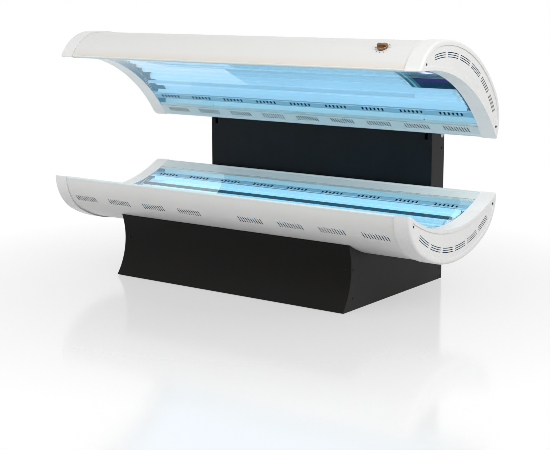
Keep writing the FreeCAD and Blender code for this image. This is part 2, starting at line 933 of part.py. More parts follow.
def is_short(half, spot):
    """Lamps that stop at the face tanner."""
    return half is CANOPY and -size("tanner_front") < spot[0] < size("tanner_rear")


def make_lamps(half):
    """Hollow glass tubes, each closed by a cap at both ends."""
    body = new_body(half.name + "_lamps")
    radius = size("lamp_radius")
    start = "-{lamp_end_x}"
    for short, end, length in ((False, "{lamp_end_x}", "{lamp_length}"),
                               (True, "{short_end_x}", "{short_lamp_length}")):
        spots = [half.to_yz(spot) for spot in lamp_spots() if is_short(half, spot) == short]
        if not spots:
            continue
        place = "%s - {lamp_cap_length}" % end
        tube = discs(body, "YZ_Plane", place, spots, radius, radius - size("lamp_wall"))
        pad(body, tube, "%s - 2 * {lamp_cap_length}" % length, back=True)
        for face, back in ((end, True), (start, False)):
            cap = discs(body, "YZ_Plane", face, spots, size("lamp_cap_radius"))
            pad(body, cap, "{lamp_cap_length} + {lamp_cap_lap}", back=back)
    half.place(body)


def bulkhead_path():
    wide = size("bulkhead_half_width")
    offset = PANE + size("bar_depth") + size("bulkhead_gap")
    path = outer_run(SKIN_BACK, outer_perp(SKIN_BACK, wide))
    return path + user_run(offset, wide, -wide)


def holder_blocks(body, half, face, spots, length, back):
    """Square lamp holders on one face of a plate."""
    wide = size("holder_width")
    sketch = new_sketch(body, "YZ_Plane", face)
    for spot in spots:
        y, z = half.to_yz(spot)
        draw(sketch, box_about(y, z, wide, wide))
    pad(body, sketch, length, back=back)


def make_holders(half):
    """Two bulkheads with their lamp holders, and the holders beside the face tanner."""
    body = new_body(half.name + "_lamp_holders")
    spots = lamp_spots()
    long_spots = [spot for spot in spots if not is_short(half, spot)]
    short_spots = [spot for spot in spots if is_short(half, spot)]
    for side, word in SIDES:
        face = "%d * {bulkhead_x}" % side
        pad(body, loop(body, "YZ_Plane", face, bulkhead_path(), half.at), "{bulkhead_wall}", back=side < 0)
        carried = long_spots if side > 0 else spots
        holder_blocks(body, half, face, carried, "{holder_depth}", side > 0)
    if short_spots:
        mouth = band(0, TANNER_FAR + GAP, TANNER_FRONT - GAP, TANNER_REAR + GAP)
        notch = loop(body, "YZ_Plane", "{bulkhead_x} - {weld_lap}", mouth, half.at)
        pocket(body, notch, "{bulkhead_wall} + 2 * {weld_lap}", back=True)
        holder_blocks(body, half, "{short_end_x}", short_spots, "{tanner_lamp_gap}", False)
    half.place(body)


def make_reflector(half):
    body = new_body(half.name + "_reflector")
    near = size("reflector_offset")
    edge = size("reflector_edge")
    path = band(near, near + size("reflector_wall"), -edge, edge)
    pad(body, loop(body, "YZ_Plane", "0", path, half.at), "2 * {bulkhead_x}", both=True)
    half.place(body)


def make_ribs(half):
    """Curved formers between reflector and skin; the outer two stand beside the hinge arms."""
    body = new_body(half.name + "_ribs")
    behind = size("reflector_offset") + size("reflector_wall")
    beside_arm = size("arm_x") - size("arm_wall") / 2 - size("rib_wall") / 2
    for x in (-beside_arm, -size("inner_rib_x"), size("inner_rib_x"), beside_arm):
        path = crescent(SKIN_BACK, behind)
        pad(body, loop(body, "YZ_Plane", "%.4f" % x, path, half.at), "{rib_wall}", both=True)
    half.place(body)


# ---------------------------------------------------------------- cooling fans
FAN_FAR = outer_perp(SKIN_BACK, size("fan_radius"))
MOTOR_NEAR = FAN_FAR - size("fan_motor_height")


def make_fan_housing(half):
    """Ring between reflector and skin, with a motor on four spokes."""
    body = new_body(half.name + "_fan_housing")
    far = half.z(FAN_FAR)
    motor_near = half.z(MOTOR_NEAR)
    outer = size("fan_radius")
    inner = outer - size("fan_wall")
    revolve(body, box_path(inner, half.z(size("fan_near")), outer, far))
    wide = size("fan_motor_radius")
    shaft = size("fan_shaft_radius")
    shaft_near = half.z(size("fan_near") + size("fan_shaft_back"))
    revolve(body, [(0, far), (wide, far), (wide, motor_near), (shaft, motor_near), (shaft, shaft_near),
                   (0, shaft_near)])
    spokes = new_sketch(body, "XY_Plane", "%.4f" % far)
    arm = size("fan_spoke_width") / 2
    start = wide - size("weld_lap")
    reach = inner + size("weld_lap")
    for side, word in SIDES:
        draw(spokes, box_path(side * start, -arm, side * reach, arm))
        draw(spokes, box_path(-arm, side * start, arm, side * reach))
    pad(body, spokes, "{fan_spoke_wall}", back=half.sign > 0)
    half.place(body)


def make_fan_rotor(half):
    body = new_body(half.name + "_fan_rotor")
    hub_far = MOTOR_NEAR - size("fan_hub_gap")
    hub_near = hub_far - size("fan_hub_height")
    wide = size("fan_hub_radius")
    taper = size("fan_hub_taper")
    bore = size("fan_shaft_radius") + size("running_gap")
    hub = [(bore, hub_near), (wide - taper, hub_near), (wide, hub_near + taper), (wide, hub_far),
           (bore, hub_far)]
    revolve(body, moved(hub, half.to_yz))
    w = size("fan_blade_wall") / 2
    chord = size("fan_blade_chord") / 2
    middle = (hub_far + hub_near) / 2
    low = middle - size("fan_blade_height") / 2
    high = middle + size("fan_blade_height") / 2
    path = [(-chord - w, low), (-chord + w, low), (chord + w, high), (chord - w, high)]
    blade = loop(body, "XZ_Plane", "-{fan_hub_radius} + {fan_blade_root}", moved(path, half.to_yz))
    leaf = pad(body, blade, "{fan_blade_reach} - {fan_hub_radius} + {fan_blade_root}", back=True)
    spin_copies(body, leaf, FAN_BLADE_COUNT)
    half.place(body)


def make_half(half):
    make_shell(half)
    for side, word in SIDES:
        make_trim(half, side, word)
    make_end_plates(half)
    make_rail(half, -1, "front")
    make_rail(half, 1, "rear")
    make_pane(half, "acrylic", -size("pane_edge"), size("strip_near"))
    make_pane(half, "side_pane", size("strip_far"), size("pane_edge"))
    make_strip(half)
    make_bars(half)
    make_lamps(half)
    make_holders(half)
    make_reflector(half)
    make_ribs(half)
    make_fan_housing(half)
    make_fan_rotor(half)


# ---------------------------------------------------------------- pedestal and column
WALL = size("panel_wall")
FLOOR = size("floor_gap")
BACK = size("back_y")
COLUMN = size("column_front_y")
SILL = size("sill_z")
TOP = size("column_top_z") - WALL
SIDE_IN = size("side_inner_x")
TUBE = size("tube_size")
TUBE_LOW = size("foot_height")
TUBE_TOP = TUBE_LOW + TUBE
FRAME_X = size("frame_half_length")
REAR_TUBE = BACK - WALL - GAP - TUBE
SWING = math.radians(size("open_angle"))


def circle_through(p, q, r):
    """Centre and radius of the circle through three points."""
    d = 2 * (p[0] * (q[1] - r[1]) + q[0] * (r[1] - p[1]) + r[0] * (p[1] - q[1]))
    pp = p[0] ** 2 + p[1] ** 2
    qq = q[0] ** 2 + q[1] ** 2
    rr = r[0] ** 2 + r[1] ** 2
    x = (pp * (q[1] - r[1]) + qq * (r[1] - p[1]) + rr * (p[1] - q[1])) / d
    y = (pp * (r[0] - q[0]) + qq * (p[0] - r[0]) + rr * (q[0] - p[0])) / d
    return x, y, math.hypot(p[0] - x, p[1] - y)


FRONT = circle_through((-size("front_foot_y"), 0), (-size("front_waist_y"), size("front_waist_z")),
                       (-size("front_top_y"), size("front_top_z")))


def front_y(z, inward):
    """Place of the hollow front face at a height, or of a face that far behind it."""
    return FRONT[0] + math.sqrt((FRONT[2] + inward) ** 2 - (z - FRONT[1]) ** 2)


def front_run(inward, low, high):
    middle = (low + high) / 2
    return [(front_y(low, inward), low), ((front_y(middle, inward), middle), (front_y(high, inward), high))]


PANEL_TOP = BED.z(outer_perp(SKIN, size("front_top_y") - WALL)) - GAP
FRONT_TUBE = front_y(TUBE_TOP, WALL) + size("frame_front_gap")
FRONT_SCREWS = [(side * size("outer_saddle_x"), size("side_screw_high_z")) for side, word in SIDES]
SIDE_SCREW_Y = size("side_screw_inset") - size("front_waist_y")
REAR_SCREW_Y = BACK - size("rear_screw_inset")
SIDE_SCREWS = [(SIDE_SCREW_Y, size("side_screw_high_z")), (SIDE_SCREW_Y, size("side_screw_low_z")),
               (REAR_SCREW_Y, size("rear_screw_high_z")), (REAR_SCREW_Y, size("rear_screw_low_z")),
               (BACK - size("corner_screw_inset"), size("corner_screw_z"))]
EYE_IN = size("strut_x") - size("strut_eye_width") / 2
EYE_OUT = size("strut_x") + size("strut_eye_width") / 2


def tube_run(body, role, offset, x, y, length, both=False, back=False):
    """Square tube whose section starts at (x, y) of the sketch."""
    wall = size("tube_wall")
    sketch = loop(body, role, offset, box_path(x, y, x + TUBE, y + TUBE))
    draw(sketch, box_path(x + wall, y + wall, x + TUBE - wall, y + TUBE - wall))
    pad(body, sketch, length, both=both, back=back)


def strut_pin(body, side, spot, start):
    """Pin from a plate or post through a strut eye, with a head behind the eye."""
    radius = size("strut_pin_radius")
    head = radius + size("strut_pin_head_lap")
    head_out = EYE_IN - size("strut_pin_gap")
    end = head_out - size("strut_pin_head_wall")
    for wide, place in ((radius, start), (head, head_out)):
        pad(body, discs(body, "YZ_Plane", "%.4f" % (side * place), [spot], wide), "%.4f" % (place - end),
            back=side > 0)


def make_base_frame():
    """Welded square tubes: a ladder on the floor, two posts, a beam, a tray and the strut lugs."""
    body = new_body("base_frame")
    for y in (FRONT_TUBE, REAR_TUBE):
        tube_run(body, "YZ_Plane", "0", y, TUBE_LOW, "2 * {frame_half_length}", both=True)
    reach = REAR_TUBE - FRONT_TUBE - TUBE + 2 * WELD
    end_tube = FRAME_X - TUBE / 2
    inner = size("inner_tube_x")
    for x in (-end_tube, -inner, 0, inner, end_tube):
        tube_run(body, "XZ_Plane", "%.4f" % (WELD - FRONT_TUBE - TUBE), x - TUBE / 2, TUBE_LOW,
                 "%.4f" % reach, back=True)
    for side, word in SIDES:
        tube_run(body, "XY_Plane", "{foot_height} + {tube_size} - {weld_lap}", side * end_tube - TUBE / 2,
                 REAR_TUBE, "{post_top_z} - {foot_height} - {tube_size} + {weld_lap}")
    tube_run(body, "YZ_Plane", "0", REAR_TUBE, size("post_top_z") - size("beam_drop"),
             "2 * ({frame_half_length} - {tube_size} + {weld_lap})", both=True)
    wide = inner - size("tray_inset")
    path = box_path(-wide, -size("tray_front_y"), wide, size("tray_rear_y"))
    pad(body, loop(body, "XY_Plane", "{foot_height} + {tube_size}", path), "{tray_wall}")
    spot = (size("strut_foot_y"), size("strut_foot_z"))
    post = FRAME_X - TUBE
    lug_end = EYE_OUT + size("strut_pin_gap")
    for side, word in SIDES:
        lug = discs(body, "YZ_Plane", "%.4f" % (side * (post + WELD)), [spot], size("strut_eye_radius"))
        pad(body, lug, "%.4f" % (post + WELD - lug_end), back=side > 0)
        strut_pin(body, side, spot, post)


def make_feet():
    """Rubber pads under the ends and middles of the floor tubes."""
    body = new_body("base_feet")
    end_tube = FRAME_X - TUBE / 2
    spots = [(x, y + TUBE / 2) for x in (-end_tube, 0, end_tube) for y in (FRONT_TUBE, REAR_TUBE)]
    pad(body, discs(body, "XY_Plane", "0", spots + [(0, 0)], size("foot_radius")), "{foot_height}")


def make_front_panel():
    body = new_body("base_front_panel")
    path = front_run(0, FLOOR, PANEL_TOP) + backwards(front_run(WALL, FLOOR, PANEL_TOP))
    pad(body, loop(body, "YZ_Plane", "0", path), "2 * ({side_inner_x} - {seat_gap})", both=True)
    holes = discs(body, "XZ_Plane", "{front_foot_y}", FRONT_SCREWS, size("screw_hole"))
    pocket(body, holes, "{front_foot_y} / 2")


def make_side_panel(side, word):
    """Sheet cut to the hollow front, the tub and the column."""
    body = new_body("base_side_panel_" + word)
    cradle = outline(SKIN - GAP, front_y(PANEL_TOP, 0), outer_along(SKIN - GAP, BED.rim - SILL))
    path = front_run(0, FLOOR, PANEL_TOP) + moved(cradle, BED.to_yz)
    path += [(COLUMN, SILL), (COLUMN, TOP), (BACK, TOP), (BACK, FLOOR)]
    pad(body, loop(body, "YZ_Plane", "%d * {side_inner_x}" % side, path), "{panel_wall}", back=side < 0)
    holes = discs(body, "YZ_Plane", "0", SIDE_SCREWS, size("screw_hole"))
    pocket(body, holes, "3 * {base_half_length}", both=True)


def make_rear_panel():
    """Flat sheet with two bands of louvres and a hole for the cable gland."""
    body = new_body("rear_panel")
    path = box_path(GAP - SIDE_IN, FLOOR, SIDE_IN - GAP, TOP)
    pad(body, loop(body, "XZ_Plane", "-{back_y}", path), "{panel_wall}")
    gland = [(size("gland_x"), size("gland_z"))]
    cuts = discs(body, "XZ_Plane", "-{back_y} - {cut_reach}", gland, size("gland_neck") + GAP)
    for x in spread(0, 3 * size("louvre_pitch"), 4):
        for first in (size("louvre_low_z"), size("louvre_high_z")):
            for number in range(LOUVRE_ROW_COUNT):
                z = first + number * size("louvre_step")
                draw(cuts, box_about(x, z, size("louvre_length"), size("louvre_height")))
    pocket(body, cuts, "2 * {cut_reach}", back=True)


def make_gland():
    """Bushing through the rear panel: flange outside, nut inside, and a bore for a supply cord."""
    body = new_body("cable_gland")
    spot = [(size("gland_x"), size("gland_z"))]
    for radius, offset, length in (("gland_neck", "-{gland_tail}", "{gland_tail} + 2 * {panel_wall}"),
                                   ("gland_flange", "-{gland_flange_wall}", "{gland_flange_wall}"),
                                   ("gland_flange", "{panel_wall}", "{gland_nut_wall}")):
        pad(body, discs(body, "XZ_Plane", "-{back_y} + " + offset, spot, size(radius)), length)
    bore = discs(body, "XZ_Plane", "-{back_y}", spot, size("gland_bore"))
    pocket(body, bore, "4 * {cut_reach}", both=True)


def make_column_front():
    """Folded sheet from the tub to the column top, notched where the hinge arms swing."""
    body = new_body("column_front_panel")
    lip_y = outer_along(SKIN - GAP, BED.rim - SILL - WALL)
    path = [(COLUMN, TOP), (COLUMN + WALL, TOP), (COLUMN + WALL, SILL), (lip_y, SILL), (lip_y, SILL + WALL),
            (COLUMN, SILL + WALL)]
    pad(body, loop(body, "YZ_Plane", "0", path), "2 * ({side_inner_x} - {seat_gap})", both=True)
    gap = size("notch_gap")
    low = CANOPY.z(size("arm_low")) - gap
    rise = CANOPY.z(size("arm_high")) - size("hinge_z")
    back = size("hinge_y") - COLUMN
    high = size("hinge_z") + back * math.tan(SWING) + rise / math.cos(SWING) + gap
    notches = new_sketch(body, "XZ_Plane", "-{column_front_y} - {cut_reach}")
    wide = size("arm_wall") + 2 * size("arm_slot_gap")
    for side, word in SIDES:
        draw(notches, box_about(side * size("arm_x"), (low + high) / 2, wide, high - low))
    pocket(body, notches, "2 * {cut_reach}", back=True)


def make_column_cover():
    body = new_body("column_top_cover")
    wide = size("base_half_length")
    place = "{column_top_z} - {panel_wall}"
    pad(body, loop(body, "XY_Plane", place, box_path(-wide, COLUMN, wide, BACK)), "{panel_wall}")
    rim = new_sketch(body, "XY_Plane", place)
    outer = WALL + GAP
    for lap in (outer, outer + size("cover_flange_wall")):
        draw(rim, box_path(lap - wide, COLUMN + lap, wide - lap, BACK - lap))
    pad(body, rim, "{cover_flange}", back=True)


def make_saddles():
    """Upright plates that carry the tub, with lightening windows."""
    body = new_body("tub_saddles")
    top = PANEL_TOP - size("saddle_top_gap")
    rear = size("saddle_rear_y")
    cradle = outline(SKIN, front_y(top, WALL) + size("panel_wall"), rear)
    window_low = TUBE_TOP + size("saddle_window_rise")
    window_high = BED.z(B) - size("saddle_window_roof")
    for x in (-size("outer_saddle_x"), -size("inner_tube_x"), size("inner_tube_x"), size("outer_saddle_x")):
        path = front_run(WALL, TUBE_TOP, top) + moved(cradle, BED.to_yz) + [(rear, TUBE_TOP)]
        sketch = loop(body, "YZ_Plane", "%.4f" % x, path)
        for number in range(SADDLE_WINDOW_COUNT):
            y = size("saddle_window_first_y") + number * size("saddle_window_pitch")
            draw(sketch, box_path(y, window_low, y + size("saddle_window_width"), window_high))
        pad(body, sketch, "{saddle_wall}", both=True)


def make_ballasts():
    """Lamp chokes on the tray: an iron core with a coil on top."""
    body = new_body("ballasts")
    tray = "{foot_height} + {tube_size} + {tray_wall}"
    for length, width, place, height in (("ballast_length", "ballast_width", tray, "{ballast_height}"),
                                         ("coil_length", "coil_width", tray + " + {ballast_height}",
                                          "{coil_height}")):
        sketch = new_sketch(body, "XY_Plane", place)
        for x in spread(0, (BALLAST_COLUMN_COUNT - 1) * size("ballast_pitch_x"), BALLAST_COLUMN_COUNT):
            for number in range(BALLAST_ROW_COUNT):
                y = size("ballast_first_y") + number * size("ballast_pitch_y")
                draw(sketch, box_about(x, y, size(length), size(width)))
        pad(body, sketch, height)


def make_control_box():
    body = new_body("control_box")
    length = size("control_length")
    width = size("control_width")
    middle = size("control_near_y") + width / 2
    lap = 2 * size("control_lid_lap")
    tray = "{foot_height} + {tube_size} + {tray_wall}"
    case = loop(body, "XY_Plane", tray, box_about(0, middle, length, width))
    pad(body, case, "{control_height}")
    cover = box_about(0, middle, length + lap, width + lap)
    lid = loop(body, "XY_Plane", tray + " + {control_height}", cover)
    pad(body, lid, "{control_lid_wall}")


def screw_row(body, role, place, spots, shank, outward):
    """Screw heads on a face, with shanks through the sheet behind it."""
    for radius, length, back in (("screw_head", "{screw_rise}", not outward),
                                 ("screw_shank", shank, outward)):
        pad(body, discs(body, role, place, spots, size(radius)), length, back=back)


def make_panel_screws():
    body = new_body("panel_screws")
    for side, word in SIDES:
        screw_row(body, "YZ_Plane", "%d * {base_half_length}" % side, SIDE_SCREWS, "{panel_wall}", side > 0)
    face = GAP - front_y(size("side_screw_high_z"), 0)
    screw_row(body, "XZ_Plane", "%.4f" % face, FRONT_SCREWS, "{panel_wall}", True)
    make_end_screws(body, BED)


def make_end_screws(body, half):
    for side, word in SIDES:
        place = "%d * ({half_length} - {cap_face})" % side
        screw_row(body, "YZ_Plane", place, end_screw_spots(half), "{plate_wall}", side > 0)
    half.place(body)


# ---------------------------------------------------------------- hinge
HINGE = (size("hinge_y"), size("hinge_z"))
HINGE_BORE = size("pin_radius") + size("running_gap")
EAR_IN = size("hub_in_x") - GAP
EAR_OUT = size("hub_out_x") + GAP


def cut_hinge_bore(body):
    bores = discs(body, "YZ_Plane", "0", [HINGE], HINGE_BORE)
    pocket(body, bores, "3 * {base_half_length}", both=True)


def make_hinge_brackets():
    """A sole on each post with an ear at either end of the arm's hub."""
    body = new_body("hinge_brackets")
    ear = size("ear_wall")
    r = size("ear_radius")
    foot = size("post_top_z")
    path = [(HINGE[0] - r, HINGE[1]), ((HINGE[0], HINGE[1] + r), (HINGE[0] + r, HINGE[1])),
            (REAR_TUBE + TUBE, foot), (REAR_TUBE, foot)]
    for side, word in SIDES:
        sole = box_path(side * (EAR_IN - ear), REAR_TUBE, side * (EAR_OUT + ear), REAR_TUBE + TUBE)
        pad(body, loop(body, "XY_Plane", "{post_top_z}", sole), "{bracket_sole}")
        for inner in (EAR_IN - ear, EAR_OUT):
            pad(body, loop(body, "YZ_Plane", "%.4f" % (side * inner), path), "{ear_wall}", back=side < 0)
    cut_hinge_bore(body)


def make_hinge_pins():
    body = new_body("hinge_pins")
    radius = size("pin_radius")
    ear = size("ear_wall")
    head_end = EAR_IN - ear - GAP
    head_start = head_end - size("pin_head_wall")
    pin_end = EAR_OUT + ear + size("pin_end")
    for side, word in SIDES:
        for wide, end in ((radius, pin_end), (radius + size("pin_head_lap"), head_end)):
            sketch = discs(body, "YZ_Plane", "%.4f" % (side * head_start), [HINGE], wide)
            pad(body, sketch, "%.4f" % (end - head_start), back=side < 0)


def make_bracket_caps():
    """Round blanking caps on the column sides, over the hinge pins' ends."""
    body = new_body("bracket_caps")
    spot = [(size("bracket_cap_y"), size("bracket_cap_z"))]
    for side, word in SIDES:
        sketch = discs(body, "YZ_Plane", "%d * {base_half_length}" % side, spot, size("bracket_cap_radius"))
        buttons = pad(body, sketch, "{bracket_cap_rise}", back=side < 0)
    face = size("base_half_length") + size("bracket_cap_rise")

    def on_rim(edge):
        return all(abs(abs(corner.X) - face) < 0.01 for corner in edge.Vertexes)

    round_edges(body, buttons, "{bracket_cap_rise} / 2", on_rim)


def arm_path():
    """Arm from the hinge through the rear skin to a foot between reflector and skin."""
    hub = size("hub_radius")
    root = HINGE[0] - size("arm_root")
    low = size("arm_low")
    high = size("arm_high")
    behind = size("reflector_offset") + size("reflector_wall") + size("arm_back_gap")
    skin = SKIN_BACK + size("arm_skin_gap")
    clear = size("reflector_edge") + size("arm_reflector_gap")
    heel = size("bulkhead_half_width")
    toe = heel - size("arm_reach")
    rear_skin = outer_along(SKIN_BACK, high)
    top = rear_skin - size("arm_reflector_gap")
    turn = top - size("arm_knee_gap")
    path = [(COLUMN, low), (outer_along(SKIN_BACK, low) - size("arm_skin_gap"), low),
            (size("reflector_edge") + size("arm_knee_gap"), high),
            (clear, user_perp(behind, clear)), (heel, user_perp(behind, heel)), (toe, user_perp(behind, toe)),
            (toe, outer_perp(skin, toe)), (heel, outer_perp(skin, heel)), (turn, outer_perp(skin, turn)),
            (top, high), (COLUMN, high)]
    return [(root, HINGE[1] - hub + WELD)] + moved(path, CANOPY.to_yz) + [(root, HINGE[1] + hub - WELD)]


def make_hinge_arms():
    body = new_body("canopy_hinge_arms")
    hub = size("hub_radius")
    back = size("lever_back")
    up = size("lever_up")
    eye = (HINGE[0] - back * math.cos(SWING) - up * math.sin(SWING),
           HINGE[1] + up * math.cos(SWING) - back * math.sin(SWING))
    round_end = size("strut_eye_radius")
    lever = [(HINGE[0], HINGE[1] - hub + WELD), (eye[0], eye[1] - round_end),
             ((eye[0] - round_end, eye[1]), (eye[0], eye[1] + round_end)), (HINGE[0], HINGE[1] + hub - WELD)]
    lever_x = EYE_OUT + size("lever_gap")
    for side, word in SIDES:
        barrel = discs(body, "YZ_Plane", "%d * {hub_in_x}" % side, [HINGE], hub)
        pad(body, barrel, "{hub_out_x} - {hub_in_x}", back=side < 0)
        pad(body, loop(body, "YZ_Plane", "%d * {arm_x}" % side, arm_path()), "{arm_wall}", both=True)
        pad(body, loop(body, "YZ_Plane", "%.4f" % (side * lever_x), lever), "{lever_wall}", back=side < 0)
        strut_pin(body, side, eye, lever_x + WELD)
    cut_hinge_bore(body)
    tilt(body)


# ---------------------------------------------------------------- gas struts
def place_strut(body, side):
    turn_about_x(body, "{strut_tilt}", "%d * {strut_x}" % side, "{strut_foot_y}", "{strut_foot_z}")


def make_strut_eye(body, height, gap):
    """Flat eye across the end of a strut."""
    ring = discs(body, "YZ_Plane", "0", [(0, height)], size("strut_eye_radius"))
    pad(body, ring, "{strut_eye_width}", both=True)
    bore = discs(body, "YZ_Plane", "0", [(0, height)], size("strut_pin_radius") + gap)
    pocket(body, bore, "3 * {strut_eye_width}", both=True)


def make_cylinder(side, word):
    body = new_body("strut_cylinder_" + word)
    outer = size("strut_radius")
    inner = outer - size("strut_wall")
    neck = size("strut_neck")
    start = size("strut_eye_radius") - size("strut_wall") * 2
    shoulder = size("strut_shoulder")
    chamfer = size("strut_chamfer")
    end = size("cylinder_length")
    bore = size("rod_radius") + size("running_gap")
    seal = end - size("strut_seal")
    floor = size("strut_floor")
    revolve(body, [(0, start), (neck, start), (neck, shoulder), (outer, shoulder + chamfer),
                   (outer, end - chamfer), (outer - chamfer, end), (bore, end), (bore, seal), (inner, seal),
                   (inner, floor), (0, floor)])
    make_strut_eye(body, 0, size("running_gap"))
    place_strut(body, side)


def make_rod(side, word):
    """Piston and rod; its eye has room on the lever's pin, where the linkage is open."""
    body = new_body("strut_rod_" + word)
    reach = size("strut_length")
    rod = size("rod_radius")
    piston = size("strut_radius") - size("strut_wall") - size("running_gap")
    low = size("piston_place")
    high = low + size("piston_height")
    end = reach - size("strut_eye_radius") + size("strut_wall") * 2
    revolve(body, [(0, end), (rod, end), (rod, high), (piston, high), (piston, low), (0, low)])
    make_strut_eye(body, reach, size("linkage_gap"))
    place_strut(body, side)


# ---------------------------------------------------------------- timer
def place_on_front(body):
    turn_about_x(body, "({timer_angle} - {open_angle})", "{timer_x}", "{timer_open_y}", "{timer_open_z}")


def make_timer():
    """Bezel hollowed to sit on the skin, neck, spindle and the clockwork case behind."""
    body = new_body("timer_unit")
    depth = size("bezel_depth")
    bezel = discs(body, "XY_Plane", "-{bezel_depth}", [(0, 0)], size("bezel_radius"))
    pad(body, bezel, "{bezel_depth} + {bezel_rise}")
    skin = size("timer_reach")
    seat = discs(body, "YZ_Plane", "0", [(0, -skin)], skin + size("running_gap"))
    pocket(body, seat, "4 * {bezel_radius}", both=True)
    neck = discs(body, "XY_Plane", "{weld_lap}", [(0, 0)], size("timer_neck"))
    pad(body, neck, "{bezel_depth} + {weld_lap}", back=True)
    spindle = discs(body, "XY_Plane", "0", [(0, 0)], size("timer_shaft_radius"))
    pad(body, spindle, "{timer_shaft_rise}")
    case = loop(body, "XY_Plane", "-{bezel_depth}", box_about(0, 0, size("timer_box"), size("timer_box")))
    pad(body, case, "{timer_depth}", back=True)
    place_on_front(body)


def make_knob():
    """Disc with a grip bar across it, blind-bored for the spindle, with a plain mark."""
    body = new_body("timer_knob")
    low = size("bezel_rise") + GAP
    top = low + size("knob_disc")
    high = low + size("knob_height")
    radius = size("knob_radius")
    bevel = size("knob_bevel")
    revolve(body, [(0, low), (radius, low), (radius, top - bevel), (radius - bevel, top), (0, top)])
    reach = radius - size("knob_grip_inset")
    bar = loop(body, "XY_Plane", "%.4f" % (top - WELD), box_about(0, 0, 2 * reach, size("knob_grip_width")))
    grip = pad(body, bar, "{knob_height} - {knob_disc} + {weld_lap}")

    def on_top(edge):
        return all(corner.Z > high - SAME for corner in edge.Vertexes)

    round_edges(body, grip, "{knob_grip_round}", on_top)
    bore = discs(body, "XY_Plane", "%.4f" % low, [(0, 0)], size("timer_shaft_radius") + size("running_gap"))
    pocket(body, bore, "{timer_shaft_rise} - {bezel_rise}", back=True)
    half_mark = size("knob_mark_width") / 2
    mark = box_path(-reach + bevel, -half_mark, -size("timer_shaft_radius"), half_mark)
    pocket(body, loop(body, "XY_Plane", "%.4f" % high, mark), "{knob_mark_depth}")
    place_on_front(body)


# ---------------------------------------------------------------- face tanner
def make_tanner_housing():
    """Tray open to the user, with a frame of two bars across its inner end."""
    body = new_body("face_tanner_housing")
    tray = band(TANNER_NEAR, TANNER_FAR, TANNER_FRONT, TANNER_REAR)
    pad(body, loop(body, "YZ_Plane", "{tanner_in_x}", tray, CANOPY.at), "{tanner_length}")
    inside = band(TANNER_NEAR - WELD, TANNER_FAR - TANNER_WALL, TANNER_FRONT + TANNER_WALL,
                  TANNER_REAR - TANNER_WALL)
    hollow = loop(body, "YZ_Plane", "{tanner_in_x} + {tanner_wall}", inside, CANOPY.at)
    pocket(body, hollow, "{tanner_length} - 2 * {tanner_wall}", back=True)
    low = TANNER_NEAR + size("tanner_recess")
    for start, near, length in (("0", TANNER_NEAR, "{tanner_first_bar}"), ("0", low, "{tanner_frame}"),
                                ("{tanner_frame} - {tanner_second_bar}", TANNER_NEAR, "{tanner_second_bar}")):
        strip = band(near, low + TANNER_WALL, TANNER_FRONT, TANNER_REAR)
        pad(body, loop(body, "YZ_Plane", "{tanner_in_x} + " + start, strip, CANOPY.at), length)
    tilt(body)


def make_tanner_filter():
    """Dark glass that fills the mouth of the tray beside the frame strip."""
    body = new_body("face_tanner_filter")
    inset = TANNER_WALL + GAP
    path = band(TANNER_NEAR, TANNER_NEAR + size("tanner_glass"), TANNER_FRONT + inset, TANNER_REAR - inset)
    sketch = loop(body, "YZ_Plane", "{tanner_in_x} + {tanner_frame} + {seat_gap}", path, CANOPY.at)
    pad(body, sketch, "{tanner_length} - {tanner_frame} - {tanner_wall} - 2 * {seat_gap}")
    tilt(body)


def make_burners():
    """Quartz burners, each on two ceramic posts that stand on the tray's floor."""
    body = new_body("face_tanner_lamps")
    middle = (TANNER_FRONT + TANNER_REAR) / 2
    half_post = size("burner_post_width") / 2
    spots = [(along, user_perp(TANNER_NEAR + size("burner_offset"), along))
             for along in spread(middle, 2 * size("burner_pitch"), 3)]
    turned = [CANOPY.to_yz(spot) for spot in spots]
    first_post = "{tanner_in_x} + {tanner_frame} + {burner_end_gap}"
    tube = discs(body, "YZ_Plane", first_post + " + {burner_post_wall}", turned, size("burner_radius"))
    pad(body, tube, "{tanner_length} - {tanner_frame} - 2 * ({burner_end_gap} + {burner_post_wall})")
    for place in (first_post, "{tanner_out_x} - {burner_end_gap} - {burner_post_wall}"):
        posts = new_sketch(body, "YZ_Plane", place)
        for along, perp in spots:
            floor = user_perp(TANNER_FAR - TANNER_WALL, abs(along) + half_post)
            draw(posts, box_path(along - half_post, perp - half_post, along + half_post, floor), CANOPY.at)
        pad(body, posts, "{burner_post_wall}")
    tilt(body)


# ---------------------------------------------------------------- build, check and write
def make_everything():
    make_half(BED)
    make_half(CANOPY)
    make_base_frame()
    make_feet()
    make_front_panel()
    for side, word in SIDES:
        make_side_panel(side, word)
    make_rear_panel()
    make_gland()
    make_column_front()
    make_column_cover()
    make_saddles()
    make_ballasts()
    make_control_box()
    make_panel_screws()
    make_end_screws(new_body("canopy_end_screws"), CANOPY)
    make_hinge_brackets()
    make_hinge_pins()
    make_bracket_caps()
    make_hinge_arms()
    for side, word in SIDES:
        make_cylinder(side, word)
        make_rod(side, word)
    make_timer()
    make_knob()
    make_tanner_housing()
    make_tanner_filter()
    make_burners()
    doc.recompute()


def check_and_write():
    for item in doc.Objects:
        if "Invalid" in item.State or "Error" in item.State:
            raise RuntimeError(item.Label + " did not build: " + str(item.State))
    bodies = [item for item in doc.Objects if item.TypeId == "PartDesign::Body"]
    for body in bodies:
        if body.Shape.isNull() or not body.Shape.isValid() or not body.Shape.Solids:
            raise RuntimeError(body.Label + " has no sound solid")
    os.makedirs("parts", exist_ok=True)
    for body in bodies:
        body.Shape.exportStep("parts/" + body.Label + ".step")
    print(len(bodies), "pieces written")


make_everything()
check_and_write()
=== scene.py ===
import json
import math

import bpy
from mathutils import Matrix, Vector
from mathutils.bvhtree import BVHTree


